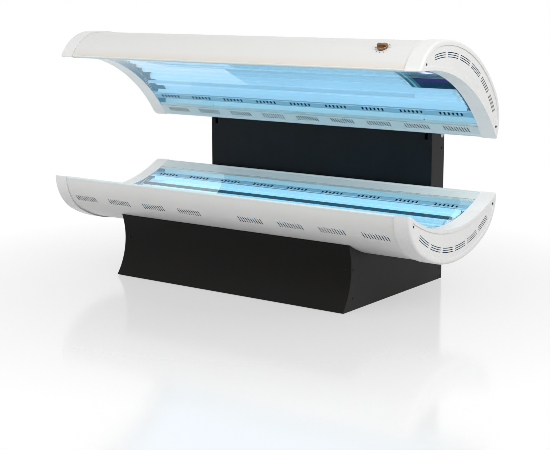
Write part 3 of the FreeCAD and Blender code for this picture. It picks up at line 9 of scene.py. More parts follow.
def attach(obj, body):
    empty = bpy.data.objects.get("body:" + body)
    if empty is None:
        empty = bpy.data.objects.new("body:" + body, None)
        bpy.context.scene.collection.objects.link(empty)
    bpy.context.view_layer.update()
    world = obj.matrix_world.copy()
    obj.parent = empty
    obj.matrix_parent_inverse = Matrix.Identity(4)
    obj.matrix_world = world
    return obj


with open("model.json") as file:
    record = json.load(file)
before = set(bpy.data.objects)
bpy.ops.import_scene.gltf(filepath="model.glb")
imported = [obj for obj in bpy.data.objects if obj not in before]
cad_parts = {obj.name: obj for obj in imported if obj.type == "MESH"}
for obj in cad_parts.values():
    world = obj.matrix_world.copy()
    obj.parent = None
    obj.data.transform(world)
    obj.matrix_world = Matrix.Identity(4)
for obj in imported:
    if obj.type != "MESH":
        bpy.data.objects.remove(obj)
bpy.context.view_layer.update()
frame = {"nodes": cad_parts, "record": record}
NODES = frame["nodes"]

# ------------------------------------------------------------------ sizes (metres; areas in square metres)
# Hinge line and opening angle of the canopy, and the height of each rim with the canopy shut.
HINGE_Y = 0.495
HINGE_Z = 0.706
OPEN = math.radians(25.8)
CANOPY_RIM = 0.651
BED_RIM = 0.4636

# The section: arc of the user surface, whose centre lies outside the rim, and the canopy's front corner.
USER_R = 0.732
USER_CENTRE = 0.630
CORNER_ALONG = 0.1781
FRONT_R = 0.1988

# Ends of the long and the short tubes, and the length of a cap.
LAMP_END = 0.882
SHORT_LAMP_END = 0.672
LAMP_CAP = 0.0145

# Where a painted finish begins or ends: painted light on the shell walls near the rim, painted warm shade
# on the lip, painted light on the walls of the windows in the end caps, and the roots of the arms, inside
# which the arms carry painted light.
RIM_WALL_ALONG = 0.29
RIM_WALL_DEPTH = 0.11
LIP_DEPTH = 0.12
LIP_LOW = 1.036
LIP_HIGH = 1.075
WINDOW_BAND = 0.05
ARM_ROOT = 0.378

# Face tanner: start of the tray, its strip of painted light from there, and the painted bright spot of the
# nearest burner.
TANNER_START = 0.688
TANNER_RECESS = (0.014, 0.030)
BURNER_SPOT = (0.848, -0.006, 1.010)
BURNER_SPOT_R = (0.005, 0.019)
BURNER_SPOT_SQUEEZE = (0.45, 1, 1)

# Timer: place on the canopy's front, and the tick marks round it (angles in degrees).
TIMER_X = 0.774
TIMER_ANGLE = math.radians(56)
TICK_COUNT = 11
TICK_FIRST = -240
TICK_STEP = 30
TICK_NEAR = 0.0305
TICK_FAR = 0.0365
SHORT_TICK_FAR = 0.0345
TICK_HALF_WIDTH = 0.0011
TICK_RISES = (-0.0004, 0.0006)

# Tests of faces: how far a ray looks for a wall, and what counts as facing a direction.
SKIN_STEP = 0.0002
SLOT = 0.02
LIDDED = 0.25
DUCT = 2.0
LENGTH = 1.0
CAP_BACK = 0.996
HOLE_WALL_AREA = 0.0005
FACING = 0.7
SIDEWAYS = 0.5
SHARP_ANGLE = math.radians(32)

# Patterns of the materials: noise scales per metre, and how far gloss and colour drift.
DRIFT_SCALE = 6.0
GRAIN_SCALE = 900.0
GRAIN_DETAIL = 2.0
GRAIN_DEPTH = 0.00006
GRAIN_STRENGTH = 0.25
COAT_ROUGHNESS = 0.08
GLOW_SCALE = 3.0
GLOW_STRETCH = (0.6, 3, 3)
GLOW_BODY_DRIFT = 0.93
GLOW_LIGHT_DRIFT = 0.94
STREAK_SCALE = 40.0
STREAK_STRETCH = (0.05, 1, 1)
STREAK_DRIFT = 0.985
LIP_ROUGHNESS = (0.27, 0.41)
# The filter's painted glow of the burners' light, in violet streaks, and its body under it.
FILTER_SCALE = 26.0
FILTER_STRETCH = (0.08, 1, 1)
FILTER_STREAKS_AT = (0.5, 0.72)
FILTER_STRENGTH = 0.75
FILTER_BODY = ((0.002, 0.02, 0.03), (0.01, 0.02, 0.05))
FILTER_ROUGHNESS = (0.05, 0.12)
FILTER_SPECULAR = 0.2


# ------------------------------------------------------------------ materials
def new_material(name):
    mat = bpy.data.materials.new(name)
    mat.use_nodes = True
    tree = mat.node_tree
    shader = tree.nodes["Principled BSDF"]
    return mat, tree, shader


def noise(tree, scale, detail=3.0, stretch=(1, 1, 1), roughness=0.5):
    coords = tree.nodes.new("ShaderNodeTexCoord")
    mapping = tree.nodes.new("ShaderNodeMapping")
    mapping.inputs["Scale"].default_value = stretch
    tree.links.new(coords.outputs["Object"], mapping.inputs["Vector"])
    tex = tree.nodes.new("ShaderNodeTexNoise")
    tex.inputs["Scale"].default_value = scale
    tex.inputs["Detail"].default_value = detail
    tex.inputs["Roughness"].default_value = roughness
    tree.links.new(mapping.outputs["Vector"], tex.inputs["Vector"])
    return tex.outputs["Fac"]


def ramp(tree, source, low_colour, high_colour, low_at=0.35, high_at=0.65):
    node = tree.nodes.new("ShaderNodeValToRGB")
    node.color_ramp.elements[0].position = low_at
    node.color_ramp.elements[0].color = (*low_colour, 1)
    node.color_ramp.elements[1].position = high_at
    node.color_ramp.elements[1].color = (*high_colour, 1)
    tree.links.new(source, node.inputs["Fac"])
    return node.outputs["Color"]


def spread(tree, source, low_value, high_value):
    node = tree.nodes.new("ShaderNodeMapRange")
    node.inputs["To Min"].default_value = low_value
    node.inputs["To Max"].default_value = high_value
    tree.links.new(source, node.inputs["Value"])
    return node.outputs["Result"]


def combine(tree, operation, first, second):
    """A Math node over two linked values."""
    node = tree.nodes.new("ShaderNodeMath")
    node.operation = operation
    tree.links.new(first, node.inputs[0])
    tree.links.new(second, node.inputs[1])
    return node.outputs[0]


def bump(tree, shader, source, strength, distance):
    node = tree.nodes.new("ShaderNodeBump")
    node.inputs["Strength"].default_value = strength
    node.inputs["Distance"].default_value = distance
    tree.links.new(source, node.inputs["Height"])
    tree.links.new(node.outputs["Normal"], shader.inputs["Normal"])


def surface(name, colour, rough, vary=0.06, metallic=0.0, scale=DRIFT_SCALE, grain=GRAIN_SCALE,
            grain_depth=GRAIN_DEPTH, stretch=(1, 1, 1), coat=0.0, specular=0.5):
    """Plastic, paint or metal: slow colour drift, uneven gloss and a fine grain."""
    mat, tree, shader = new_material(name)
    shader.inputs["Metallic"].default_value = metallic
    shader.inputs["Specular IOR Level"].default_value = specular
    shader.inputs["Coat Weight"].default_value = coat
    shader.inputs["Coat Roughness"].default_value = COAT_ROUGHNESS
    slow = noise(tree, scale, stretch=stretch)
    dark = tuple(c * (1 - vary) for c in colour)
    light = tuple(min(c * (1 + vary), 1) for c in colour)
    tree.links.new(ramp(tree, slow, dark, light), shader.inputs["Base Color"])
    tree.links.new(spread(tree, slow, rough * 0.8, rough * 1.2), shader.inputs["Roughness"])
    fine = noise(tree, grain, detail=GRAIN_DETAIL, stretch=stretch)
    bump(tree, shader, fine, GRAIN_STRENGTH, grain_depth)
    return mat


def glow(name, colour, strength, body_colour, rough):
    """Tube, or painted light on a piece in the tubes' light: an emission that drifts slowly along it."""
    mat, tree, shader = new_material(name)
    drift = noise(tree, GLOW_SCALE, stretch=GLOW_STRETCH)
    dim_body = tuple(c * GLOW_BODY_DRIFT for c in body_colour)
    dim_light = tuple(c * GLOW_LIGHT_DRIFT for c in colour)
    tree.links.new(ramp(tree, drift, dim_body, body_colour), shader.inputs["Base Color"])
    tree.links.new(ramp(tree, drift, dim_light, colour), shader.inputs["Emission Color"])
    shader.inputs["Emission Strength"].default_value = strength
    tree.links.new(spread(tree, drift, rough * 0.8, rough * 1.2), shader.inputs["Roughness"])
    return mat


def clear(name, colour, rough, ior):
    """Clear moulded sheet with faint flow streaks along its length."""
    mat, tree, shader = new_material(name)
    streaks = noise(tree, STREAK_SCALE, stretch=STREAK_STRETCH)
    dim = tuple(c * STREAK_DRIFT for c in colour)
    tree.links.new(ramp(tree, streaks, dim, colour), shader.inputs["Base Color"])
    tree.links.new(spread(tree, streaks, rough * 0.6, rough * 1.4), shader.inputs["Roughness"])
    shader.inputs["Transmission Weight"].default_value = 1.0
    shader.inputs["IOR"].default_value = ior
    return mat


def painted_lip_shade(name, white, warm):
    """The shell's white, with painted shade turning it warmer from LIP_HIGH down to LIP_LOW at the
    canopy's front rim.
    """
    mat, tree, shader = new_material(name)
    coords = tree.nodes.new("ShaderNodeTexCoord")
    split = tree.nodes.new("ShaderNodeSeparateXYZ")
    tree.links.new(coords.outputs["Object"], split.inputs[0])
    rise = tree.nodes.new("ShaderNodeMapRange")
    rise.inputs["From Min"].default_value = LIP_LOW
    rise.inputs["From Max"].default_value = LIP_HIGH
    tree.links.new(split.outputs["Z"], rise.inputs["Value"])
    tree.links.new(ramp(tree, rise.outputs["Result"], warm, white, 0.0, 1.0), shader.inputs["Base Color"])
    slow = noise(tree, DRIFT_SCALE)
    tree.links.new(spread(tree, slow, *LIP_ROUGHNESS), shader.inputs["Roughness"])
    fine = noise(tree, GRAIN_SCALE, detail=GRAIN_DETAIL)
    bump(tree, shader, fine, GRAIN_STRENGTH, GRAIN_DEPTH)
    return mat


def dark_filter(name, deep, streak, burner):
    """Opaque stand-in for dark filter glass: painted glow of the burners' light in violet streaks, and a
    painted bright spot of the nearest burner.
    """
    mat, tree, shader = new_material(name)
    bands = noise(tree, FILTER_SCALE, detail=GRAIN_DETAIL, stretch=FILTER_STRETCH)
    coords = tree.nodes.new("ShaderNodeTexCoord")
    away = tree.nodes.new("ShaderNodeVectorMath")
    away.operation = "SUBTRACT"
    away.inputs[1].default_value = BURNER_SPOT
    tree.links.new(coords.outputs["Object"], away.inputs[0])
    squeeze = tree.nodes.new("ShaderNodeVectorMath")
    squeeze.operation = "MULTIPLY"
    squeeze.inputs[1].default_value = BURNER_SPOT_SQUEEZE
    tree.links.new(away.outputs["Vector"], squeeze.inputs[0])
    far = tree.nodes.new("ShaderNodeVectorMath")
    far.operation = "LENGTH"
    tree.links.new(squeeze.outputs["Vector"], far.inputs[0])
    near = tree.nodes.new("ShaderNodeMapRange")
    near.interpolation_type = "SMOOTHSTEP"
    near.inputs["From Min"].default_value = BURNER_SPOT_R[0]
    near.inputs["From Max"].default_value = BURNER_SPOT_R[1]
    near.inputs["To Min"].default_value = 1.0
    near.inputs["To Max"].default_value = 0.0
    tree.links.new(far.outputs["Value"], near.inputs["Value"])
    mix = tree.nodes.new("ShaderNodeMixRGB")
    mix.inputs["Color2"].default_value = (*burner, 1)
    tree.links.new(near.outputs["Result"], mix.inputs["Fac"])
    tree.links.new(ramp(tree, bands, deep, streak, *FILTER_STREAKS_AT), mix.inputs["Color1"])
    tree.links.new(mix.outputs["Color"], shader.inputs["Emission Color"])
    shader.inputs["Emission Strength"].default_value = FILTER_STRENGTH
    tree.links.new(ramp(tree, bands, *FILTER_BODY), shader.inputs["Base Color"])
    tree.links.new(spread(tree, bands, *FILTER_ROUGHNESS), shader.inputs["Roughness"])
    shader.inputs["Specular IOR Level"].default_value = FILTER_SPECULAR
    return mat


MATS = {
    "white_shell": surface("white_shell", (0.80, 0.80, 0.785), 0.34, vary=0.012),
    "white_trim": surface("white_trim", (0.84, 0.84, 0.83), 0.28, vary=0.01, coat=0.2),
    # Painted light: the rails' pale colour is tinted blue-green for the tubes' light on them.
    "pale_rail": surface("pale_rail", (0.77, 0.85, 0.84), 0.30, vary=0.015),
    "black_panel": surface("black_panel", (0.0042, 0.004, 0.0034), 0.5, vary=0.15, grain=600,
                           grain_depth=0.0001, specular=0.1),
    # Painted light: the column's black panels are tinted blue for the tubes' light falling on them.
    "black_panel_lamp_blue": surface("black_panel_lamp_blue", (0.0035, 0.0075, 0.0105), 0.42, vary=0.2, grain=600,
                                grain_depth=0.0001, specular=0.14),
    # Painted light: the base's side panels are the front's black painted lighter, for the light falling on
    # the sides.
    "side_panel": surface("side_panel", (0.019, 0.0185, 0.0175), 0.5, vary=0.12, grain=600,
                          grain_depth=0.0001, specular=0.14),
    "steel_frame": surface("steel_frame", (0.10, 0.105, 0.11), 0.45, vary=0.1),
    "bare_steel": surface("bare_steel", (0.5, 0.5, 0.51), 0.35, metallic=1.0, stretch=(0.2, 3, 3)),
    "hinge_steel": surface("hinge_steel", (0.03, 0.03, 0.032), 0.4, vary=0.1),
    "rubber": surface("rubber", (0.012, 0.012, 0.012), 0.8, vary=0.15, grain=400),
    # Painted light: the reflectors glow with the tubes' light, brighter in the bed, though they are no
    # lamps.
    "reflector": glow("reflector", (0.31, 0.60, 0.82), 1.0, (0.10, 0.13, 0.15), rough=0.3),
    "bed_reflector": glow("bed_reflector", (0.31, 0.63, 0.82), 1.35, (0.10, 0.13, 0.15), rough=0.3),
    # Painted light: the shell's inner walls near the rim, and the hinge arms inside the canopy, glow as if
    # lit by the tubes.
    "rim_wall": glow("rim_wall", (0.30, 0.56, 0.70), 0.9, (0.16, 0.19, 0.20), rough=0.4),
    # Painted light: the dark plastic glows blue as if lit by the tubes.
    "dark_plastic": glow("dark_plastic", (0.10, 0.28, 0.42), 0.75, (0.16, 0.26, 0.32), rough=0.35),
    # Painted light on the support bars: bright in the canopy, dim teal in the bed.
    "bar_lit": glow("bar_lit", (0.27, 0.53, 0.73), 0.95, (0.10, 0.13, 0.15), rough=0.3),
    "bar_dim_painted_light": glow("bar_dim_painted_light", (0.01, 0.07, 0.12), 0.6, (0.02, 0.06, 0.08), rough=0.35),
    # Painted shade: dark blue for the vent strips' holes and the duct behind them.
    "strip_hole_shade": surface("strip_hole_shade", (0.006, 0.03, 0.05), 0.7, vary=0.15, specular=0.1),
    # Painted light: the face tanner's housing glows dimly, and a strip of its tray brightly, as if lit by
    # the burners.
    "tanner_frame": glow("tanner_frame", (0.03, 0.20, 0.31), 0.45, (0.03, 0.09, 0.12), rough=0.4),
    "tanner_recess": glow("tanner_recess", (0.14, 0.42, 0.56), 0.8, (0.06, 0.14, 0.18), rough=0.4),
    # Painted light: the walls of the windows in the end caps glow, brighter than the shell around them.
    "window_wall": glow("window_wall", (0.175, 0.17, 0.155), 1.0, (0.76, 0.77, 0.77), rough=0.35),
    # Painted light: a dim teal glow on the insides of the end plates and end trims, beyond the lamps'
    # ends.
    "end_back": glow("end_back", (0.035, 0.19, 0.31), 0.9, (0.05, 0.12, 0.16), rough=0.5),
    # Painted shade, tinted teal for the lamps' light, on the lamp holders' faces turned from the lamps.
    "holder_back_shade": surface("holder_back_shade", (0.22, 0.34, 0.40), 0.5, vary=0.1, specular=0.2),
    "shell_lip_shade": painted_lip_shade("shell_lip_shade", (0.80, 0.80, 0.785), (0.78, 0.72, 0.63)),
    # Painted light: the lamp holders' faces towards the lamps glow, dimly at the canopy's far end.
    "holder_lit": glow("holder_lit", (0.36, 0.62, 0.78), 0.9, (0.2, 0.24, 0.26), rough=0.4),
    "holder_dim_painted_light": glow("holder_dim_painted_light", (0.03, 0.16, 0.24), 0.6, (0.06, 0.14, 0.18), rough=0.4),
    "holder_plastic": surface("holder_plastic", (0.30, 0.42, 0.48), 0.45, vary=0.03),
    "black_plastic": surface("black_plastic", (0.02, 0.02, 0.022), 0.45, vary=0.15, specular=0.3),
    "rib_aluminium": surface("rib_aluminium", (0.2, 0.2, 0.21), 0.5, metallic=0.9, stretch=(1, 6, 1)),
    "knob_amber": surface("knob_amber", (0.20, 0.085, 0.02), 0.28, vary=0.35, scale=90, coat=0.4),
    "screw_black": surface("screw_black", (0.008, 0.008, 0.008), 0.4, vary=0.2, specular=0.15),
    "chrome": surface("chrome", (0.75, 0.75, 0.77), 0.08, metallic=1.0, stretch=(1, 1, 0.1)),
    "acrylic": clear("acrylic", (0.90, 0.97, 0.99), 0.03, ior=1.27),
    "canopy_acrylic": clear("canopy_acrylic", (0.90, 0.97, 0.99), 0.03, ior=1.2),
    "lamp_glass": glow("lamp_glass", (0.34, 0.64, 0.88), 1.0, (0.10, 0.14, 0.17), rough=0.25),
    "bed_lamp_glass": glow("bed_lamp_glass", (0.34, 0.68, 0.88), 1.35, (0.10, 0.14, 0.17), rough=0.25),
    # Painted light: the opaque filter glows with the burners' light behind it and carries a painted burner
    # spot.
    "filter_glass": dark_filter("filter_glass", (0.0, 0.035, 0.075), (0.06, 0.035, 0.26), (2.6, 2.1, 2.9)),
    "burner_glow": glow("burner_glow", (0.75, 0.55, 1.0), 3.0, (0.8, 0.7, 1.0), rough=0.2),
    # Painted light: the tubes' metal end caps glow with the tubes' light.
    "lamp_cap": glow("lamp_cap", (0.30, 0.55, 0.70), 0.85, (0.2, 0.22, 0.24), rough=0.35),
    "cap_satin": surface("cap_satin", (0.42, 0.45, 0.47), 0.3, vary=0.08, metallic=0.6),
    "tick": surface("tick", (0.10, 0.07, 0.04), 0.4, vary=0.1),
    # Painted shade for slot walls and hollow backs.
    "shaded": surface("shaded", (0.035, 0.036, 0.037), 0.7, vary=0.1, specular=0.2),
}

# Nodes whose finish isn't the one of their material slot. Several are painted light: the glows of the
# tanner housing, bed reflector and support bars, the blue tint of the column's panels and the lighter side
# panels.
FINISH = {
    "face_tanner_lamps": "burner_glow",
    "face_tanner_housing": "tanner_frame",
    "column_front_panel": "black_panel_lamp_blue",
    "column_top_cover": "black_panel_lamp_blue",
    "base_side_panel_right": "side_panel",
    "base_side_panel_left": "side_panel",
    "bed_reflector": "bed_reflector",
    "bed_lamps": "bed_lamp_glass",
    "bed_support_bars": "bar_dim_painted_light",
    "canopy_support_bars": "bar_lit",
    "bracket_caps": "cap_satin",
    "canopy_acrylic": "canopy_acrylic",
    "canopy_side_pane": "canopy_acrylic",
}

for entry in frame["record"]["subparts"]:
    item = NODES.get(entry["node"])
    if item is None:
        continue
    name = FINISH.get(entry["node"], entry["material_slot"])
    item.data.materials.clear()
    item.data.materials.append(MATS[name])
    item.data.set_sharp_from_angle(angle=SHARP_ANGLE)


def second_material(node, material, wanted):
    """Gives the faces of a CAD piece that satisfy a test another finish."""
    mesh = NODES[node].data
    mesh.materials.append(MATS[material])
    index = len(mesh.materials) - 1
    for face in mesh.polygons:
        if wanted(face):
            face.material_index = index


def tree_of(*nodes):
    """One search tree over the faces of several CAD pieces."""
    verts = []
    faces = []
    for node in nodes:
        mesh = NODES[node].data
        first = len(verts)
        verts += [vert.co.copy() for vert in mesh.vertices]
        faces += [[first + number for number in face.vertices] for face in mesh.polygons]
    return BVHTree.FromPolygons(verts, faces)


def shade_inside(node, *others, reach=LIDDED, up_to=LENGTH, finish="shaded"):
    """Painted shade, or another painted finish, on the faces that look at a wall near by: slot walls and
    hollow backs.
    """
    tree = tree_of(node, *others)

    def looks_inward(face):
        if abs(face.center.x) > up_to:
            return False
        start = face.center + face.normal * SKIN_STEP
        return tree.ray_cast(start, face.normal, reach)[0] is not None

    second_material(node, finish, looks_inward)


def shut(half, point):
    """A point as (along, depth) of its half's section, which is the canopy's when shut: y, and the
    distance inwards from the rim."""
    if half == "bed":
        return point.y, BED_RIM - point.z
    y = point.y - HINGE_Y
    z = point.z - HINGE_Z
    return (HINGE_Y + y * math.cos(OPEN) - z * math.sin(OPEN),
            HINGE_Z + y * math.sin(OPEN) + z * math.cos(OPEN) - CANOPY_RIM)


def shut_normal(half, normal):
    """A normal as (along, depth) of the section."""
    if half == "bed":
        return normal.y, -normal.z
    return (normal.y * math.cos(OPEN) - normal.z * math.sin(OPEN),
            normal.y * math.sin(OPEN) + normal.z * math.cos(OPEN))


def faces_lamps(face):
    """Whether a face of a lamp holder or bulkhead is on the lamps' side of it."""
    return face.normal.x * face.center.x <= SKIN_STEP


def faces_middle(face):
    """Whether a face near an end of the bed looks back towards its middle."""
    return face.normal.x * face.center.x < -SIDEWAYS


for half in ("bed", "canopy"):
    def beside_lamps(face):
        wall = face.material_index == 0 and face.area > HOLE_WALL_AREA
        return wall and shut_normal(half, face.normal)[0] < -FACING

    def radial(face):
        """Distance from the user surface's centre line, and how squarely the face looks away from it."""
        along, depth = shut(half, face.center)
        reach = math.hypot(along, depth + USER_CENTRE)
        towards = shut_normal(half, face.normal)
        return reach, (towards[0] * along + towards[1] * (depth + USER_CENTRE)) / reach

    def hole_wall(face):
        return face.area < HOLE_WALL_AREA and abs(radial(face)[1]) < SIDEWAYS

    def round_window(face):
        reach, outward = radial(face)
        return outward < -FACING and abs(reach - USER_R) < WINDOW_BAND

    def on_cap(face):
        x = face.center.x
        short_end = half == "canopy" and abs(x - SHORT_LAMP_END + LAMP_CAP / 2) < LAMP_CAP / 2
        return abs(x) > LAMP_END - LAMP_CAP or short_end

    # Painted light on the tubes' end caps.
    second_material(half + "_lamps", "lamp_cap", on_cap)
    inner = (half + "_reflector", half + "_acrylic", half + "_side_pane")
    # Painted shade on the shell's inner faces and slot walls.
    shade_inside(half + "_shell", *inner)
    skin = NODES[half + "_shell"].data
    shade_slot = len(skin.materials) - 1

    # Painted light on the shell's inner faces near the rim, in place of the painted shade there.
    def near_rim(face):
        along, depth = shut(half, face.center)
        inside = abs(face.normal.x) < SIDEWAYS and face.material_index == shade_slot
        return inside and abs(along) > RIM_WALL_ALONG and depth < RIM_WALL_DEPTH

    second_material(half + "_shell", "rim_wall", near_rim)
    # Painted shade on the reflectors' backs and the end plates' slot walls.
    shade_inside(half + "_reflector", half + "_shell")
    shade_inside(half + "_end_plates", reach=SLOT)
    # Painted light on the end plates' insides that look back towards the middle.
    second_material(half + "_end_plates", "end_back", faces_middle)
    # Painted shade on the vent strip's faces that look at its own walls, and on its hole walls below.
    shade_inside(half + "_vent_strip", reach=DUCT, finish="strip_hole_shade")
    # Painted light of the reflectors on the strip's walls beside the lamps.
    duct_painted_light = "bed_reflector" if half == "bed" else "reflector"
    second_material(half + "_vent_strip", duct_painted_light, beside_lamps)
    second_material(half + "_vent_strip", "strip_hole_shade", hole_wall)
    # Painted light on the holders' faces towards the lamps.
    far_end = "holder_lit" if half == "bed" else "holder_dim_painted_light"
    for finish, side in (("holder_lit", 1), (far_end, -1)):
        second_material(half + "_lamp_holders", finish,
                        lambda face: faces_lamps(face) and side * face.center.x > 0)
    # Painted shade on the holders' faces that look away from the lamps.
    second_material(half + "_lamp_holders", "holder_back_shade", lambda face: not faces_lamps(face))
    for side in ("left", "right"):
        # Painted dim light on the trim's faces inside the cap, where painted shade would be.
        shade_inside(half + "_end_trim_" + side, up_to=CAP_BACK, finish="end_back")
        # Painted light on the walls of the end trim's window.
        second_material(half + "_end_trim_" + side, "window_wall", round_window)
    for side in ("front", "rear"):
        # Painted shade on the rails' slot walls.
        shade_inside(half + "_" + side + "_rail", reach=SLOT)


def lip(face):
    along, depth = shut("canopy", face.center)
    return along < 0 and depth < LIP_DEPTH and face.material_index == 0


def within_canopy(face):
    along, depth = shut("canopy", face.center)
    return along < ARM_ROOT and depth > 0


# Painted warm shade on the canopy's front lip.
second_material("canopy_shell", "shell_lip_shade", lip)
# Painted light on the hinge arms where they lie inside the canopy.
second_material("canopy_hinge_arms", "rim_wall", within_canopy)
# Painted light on the strip of the face tanner's tray.
second_material("face_tanner_housing", "tanner_recess",
                lambda face: TANNER_RECESS[0] < face.center.x - TANNER_START < TANNER_RECESS[1])


# ------------------------------------------------------------------ pieces in mesh code
def new_piece(name, verts, faces, material, body):
    mesh = bpy.data.meshes.new(name)
    mesh.from_pydata(verts, [], faces)
    mesh.update()
    item = bpy.data.objects.new(name, mesh)
    bpy.context.scene.collection.objects.link(item)
    mesh.materials.append(MATS[material])
    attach(item, body)
    return item


def open_up(point):
    """From where the canopy is shut to where it stands open."""
    y = point[1] - HINGE_Y
    z = point[2] - HINGE_Z
    return (point[0], HINGE_Y + y * math.cos(OPEN) + z * math.sin(OPEN),
            HINGE_Z - y * math.sin(OPEN) + z * math.cos(OPEN))


def on_canopy_front(x, turn, rise):
    """A point on the rounded front of the canopy, turn measured round its corner."""
    r = FRONT_R + rise
    return open_up((x, -(CORNER_ALONG + r * math.sin(turn)), CANOPY_RIM + r * math.cos(turn)))


def timer_scale():
    """Raised tick marks round the timer, every other one shorter."""
    verts = []
    faces = []
    for number in range(TICK_COUNT):
        angle = math.radians(TICK_FIRST + TICK_STEP * number)
        far = TICK_FAR if number % 2 == 0 else SHORT_TICK_FAR
        for rise in TICK_RISES:
            for reach in (TICK_NEAR, far):
                for side in (-1, 1):
                    u = reach * math.cos(angle) - side * TICK_HALF_WIDTH * math.sin(angle)
                    v = reach * math.sin(angle) + side * TICK_HALF_WIDTH * math.cos(angle)
                    verts.append(on_canopy_front(TIMER_X + u, TIMER_ANGLE - v / FRONT_R, rise))
        b = 8 * number
        faces += [(b, b + 2, b + 3, b + 1), (b + 4, b + 5, b + 7, b + 6), (b, b + 1, b + 5, b + 4),
                  (b + 2, b + 6, b + 7, b + 3), (b, b + 4, b + 6, b + 2), (b + 1, b + 3, b + 7, b + 5)]
    return new_piece("timer_scale", verts, faces, "tick", "canopy")


timer_scale()

# ------------------------------------------------------------------ floor, backdrop and light
WHITE = 1.0
WHITE_COLOUR = (1, 1, 1, 1)
WORLD_LIGHT = 0.45
FLOOR_HALF = 14.0
FLOOR_COLOUR = (0.45, 0.45, 0.45, 1)
FLOOR_ROUGHNESS = 0.12
FLOOR_GLOSS = 0.16

# Painted shade on the floor near the part, which also lets more of its real shadow show: from FADE_NEAR to
# FADE_FAR it turns from FADE_DARK to white.
FADE_NEAR = 0.6
FADE_FAR = 1.9
FADE_DARK = 0.67

# The floor inside the base is dark.
COVER_HALF_X = 0.605
COVER_MIDDLE_Y = 0.105
COVER_HALF_Y = 0.395
COVER_EDGE = 0.03

# Name, place, aim, size, watts, and whether mirror images show the light.
LIGHTS = (
    ("key", (4.2, -1.6, 3.6), (0.3, 0, 0.6), (3.0, 3.0), 135, True),
    ("front", (-1.2, -4.2, 4.2), (0, 0, 0.7), (3.5, 2.5), 62, True),
    ("low_fill", (-3.4, -3.0, 0.7), (0.9, 0, 0.9), (1.6, 1.2), 24, False),
)


def under_cover(tree, coords):
    """0 on the floor inside the base, where no light comes, and 1 outside it."""
    split = tree.nodes.new("ShaderNodeSeparateXYZ")
    tree.links.new(coords.outputs["Object"], split.inputs[0])
    outside = None
    for axis, middle, half in (("X", 0.0, COVER_HALF_X), ("Y", COVER_MIDDLE_Y, COVER_HALF_Y)):
        shift = tree.nodes.new("ShaderNodeMath")
        shift.operation = "SUBTRACT"
        shift.inputs[1].default_value = middle
        tree.links.new(split.outputs[axis], shift.inputs[0])
        far = tree.nodes.new("ShaderNodeMath")
        far.operation = "ABSOLUTE"
        tree.links.new(shift.outputs[0], far.inputs[0])
        edge = tree.nodes.new("ShaderNodeMapRange")
        edge.inputs["From Min"].default_value = half
        edge.inputs["From Max"].default_value = half + COVER_EDGE
        tree.links.new(far.outputs[0], edge.inputs["Value"])
        if outside is None:
            outside = edge.outputs["Result"]
            continue
        outside = combine(tree, "MAXIMUM", outside, edge.outputs["Result"])
    return outside


def make_floor():
    mesh = bpy.data.meshes.new("floor")
    s = FLOOR_HALF
    mesh.from_pydata([(-s, -s, 0), (s, -s, 0), (s, s, 0), (-s, s, 0)], [], [(0, 1, 2, 3)])
    item = bpy.data.objects.new("floor", mesh)
    bpy.context.scene.collection.objects.link(item)
    mat = bpy.data.materials.new("floor")
    mat.use_nodes = True
    tree = mat.node_tree
    tree.nodes.clear()
    out = tree.nodes.new("ShaderNodeOutputMaterial")
    diffuse = tree.nodes.new("ShaderNodeBsdfDiffuse")
    diffuse.inputs["Color"].default_value = FLOOR_COLOUR
    gloss = tree.nodes.new("ShaderNodeBsdfGlossy")
    gloss.inputs["Roughness"].default_value = FLOOR_ROUGHNESS
    gloss.inputs["Color"].default_value = WHITE_COLOUR
    white = tree.nodes.new("ShaderNodeEmission")
    white.inputs["Color"].default_value = WHITE_COLOUR
    white.inputs["Strength"].default_value = WHITE
    coords = tree.nodes.new("ShaderNodeTexCoord")
    length = tree.nodes.new("ShaderNodeVectorMath")
    length.operation = "LENGTH"
    tree.links.new(coords.outputs["Object"], length.inputs[0])
    # Painted shade round the part: less of the white near it.
    fade = tree.nodes.new("ShaderNodeMapRange")
    fade.inputs["From Min"].default_value = FADE_NEAR
    fade.inputs["From Max"].default_value = FADE_FAR
    fade.inputs["To Min"].default_value = FADE_DARK
    fade.inputs["To Max"].default_value = WHITE
    tree.links.new(length.outputs["Value"], fade.inputs["Value"])
    path = tree.nodes.new("ShaderNodeLightPath")
    seen = combine(tree, "MAXIMUM", path.outputs["Is Camera Ray"], path.outputs["Is Glossy Ray"])
    lit = combine(tree, "MULTIPLY", under_cover(tree, coords), fade.outputs["Result"])
    share = combine(tree, "MULTIPLY", seen, lit)
    plain = tree.nodes.new("ShaderNodeMixShader")
    tree.links.new(share, plain.inputs["Fac"])
    tree.links.new(diffuse.outputs[0], plain.inputs[1])
    tree.links.new(white.outputs[0], plain.inputs[2])
    both = tree.nodes.new("ShaderNodeMixShader")
    both.inputs["Fac"].default_value = FLOOR_GLOSS
    tree.links.new(plain.outputs[0], both.inputs[1])
    tree.links.new(gloss.outputs[0], both.inputs[2])
    tree.links.new(both.outputs[0], out.inputs["Surface"])
    mesh.materials.append(mat)


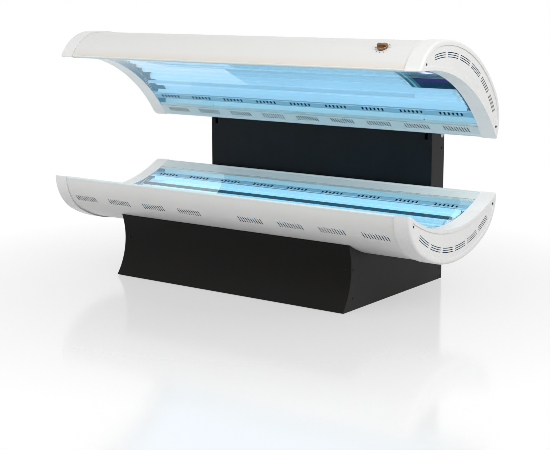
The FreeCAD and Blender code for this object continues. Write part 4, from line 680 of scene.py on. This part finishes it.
def make_world():
    world = bpy.data.worlds.new("world")
    bpy.context.scene.world = world
    world.use_nodes = True
    tree = world.node_tree
    tree.nodes.clear()
    out = tree.nodes.new("ShaderNodeOutputWorld")
    seen = tree.nodes.new("ShaderNodeBackground")
    seen.inputs["Color"].default_value = WHITE_COLOUR
    seen.inputs["Strength"].default_value = WHITE
    light = tree.nodes.new("ShaderNodeBackground")
    light.inputs["Color"].default_value = WHITE_COLOUR
    light.inputs["Strength"].default_value = WORLD_LIGHT
    path = tree.nodes.new("ShaderNodeLightPath")
    direct = combine(tree, "MAXIMUM", path.outputs["Is Camera Ray"], path.outputs["Is Glossy Ray"])
    shown = combine(tree, "MAXIMUM", direct, path.outputs["Is Transmission Ray"])
    mix = tree.nodes.new("ShaderNodeMixShader")
    tree.links.new(shown, mix.inputs["Fac"])
    tree.links.new(light.outputs[0], mix.inputs[1])
    tree.links.new(seen.outputs[0], mix.inputs[2])
    tree.links.new(mix.outputs[0], out.inputs["Surface"])


def area_light(name, place, aim, size, power, mirrored):
    data = bpy.data.lights.new(name, "AREA")
    data.shape = "RECTANGLE"
    data.size = size[0]
    data.size_y = size[1]
    data.energy = power
    item = bpy.data.objects.new(name, data)
    bpy.context.scene.collection.objects.link(item)
    item.location = place
    item.rotation_euler = (Vector(aim) - Vector(place)).to_track_quat("-Z", "Y").to_euler()
    item.visible_glossy = mirrored


make_floor()
make_world()
for settings in LIGHTS:
    area_light(*settings)

# ------------------------------------------------------------------ camera
CAMERA_PLACE = (3.5112, -4.7052, 1.3629)
CAMERA_TURN = math.radians(36.3016)
CAMERA_RISE = math.radians(10.5755)
CAMERA_ROLL = math.radians(-0.1096)
CAMERA_LENS = 83.27
SENSOR_WIDTH = 36.0

# Width of the pixel filter, narrow enough to keep the thin slots apart.
PIXEL_BLUR = 0.72


def make_camera():
    a, e, r = CAMERA_TURN, CAMERA_RISE, CAMERA_ROLL
    back = Vector((math.sin(a) * math.cos(e), -math.cos(a) * math.cos(e), math.sin(e)))
    right = Vector((math.cos(a), math.sin(a), 0))
    up = back.cross(right)
    right_rolled = right * math.cos(r) + up * math.sin(r)
    up_rolled = up * math.cos(r) - right * math.sin(r)
    data = bpy.data.cameras.new("camera")
    data.lens = CAMERA_LENS
    data.sensor_width = SENSOR_WIDTH
    data.sensor_fit = "HORIZONTAL"
    item = bpy.data.objects.new("camera", data)
    bpy.context.scene.collection.objects.link(item)
    turn = Matrix((right_rolled, up_rolled, back)).transposed()
    item.matrix_world = Matrix.Translation(CAMERA_PLACE) @ turn.to_4x4()
    bpy.context.scene.camera = item


make_camera()
bpy.context.scene.view_settings.view_transform = "Standard"
bpy.context.scene.cycles.filter_width = PIXEL_BLUR
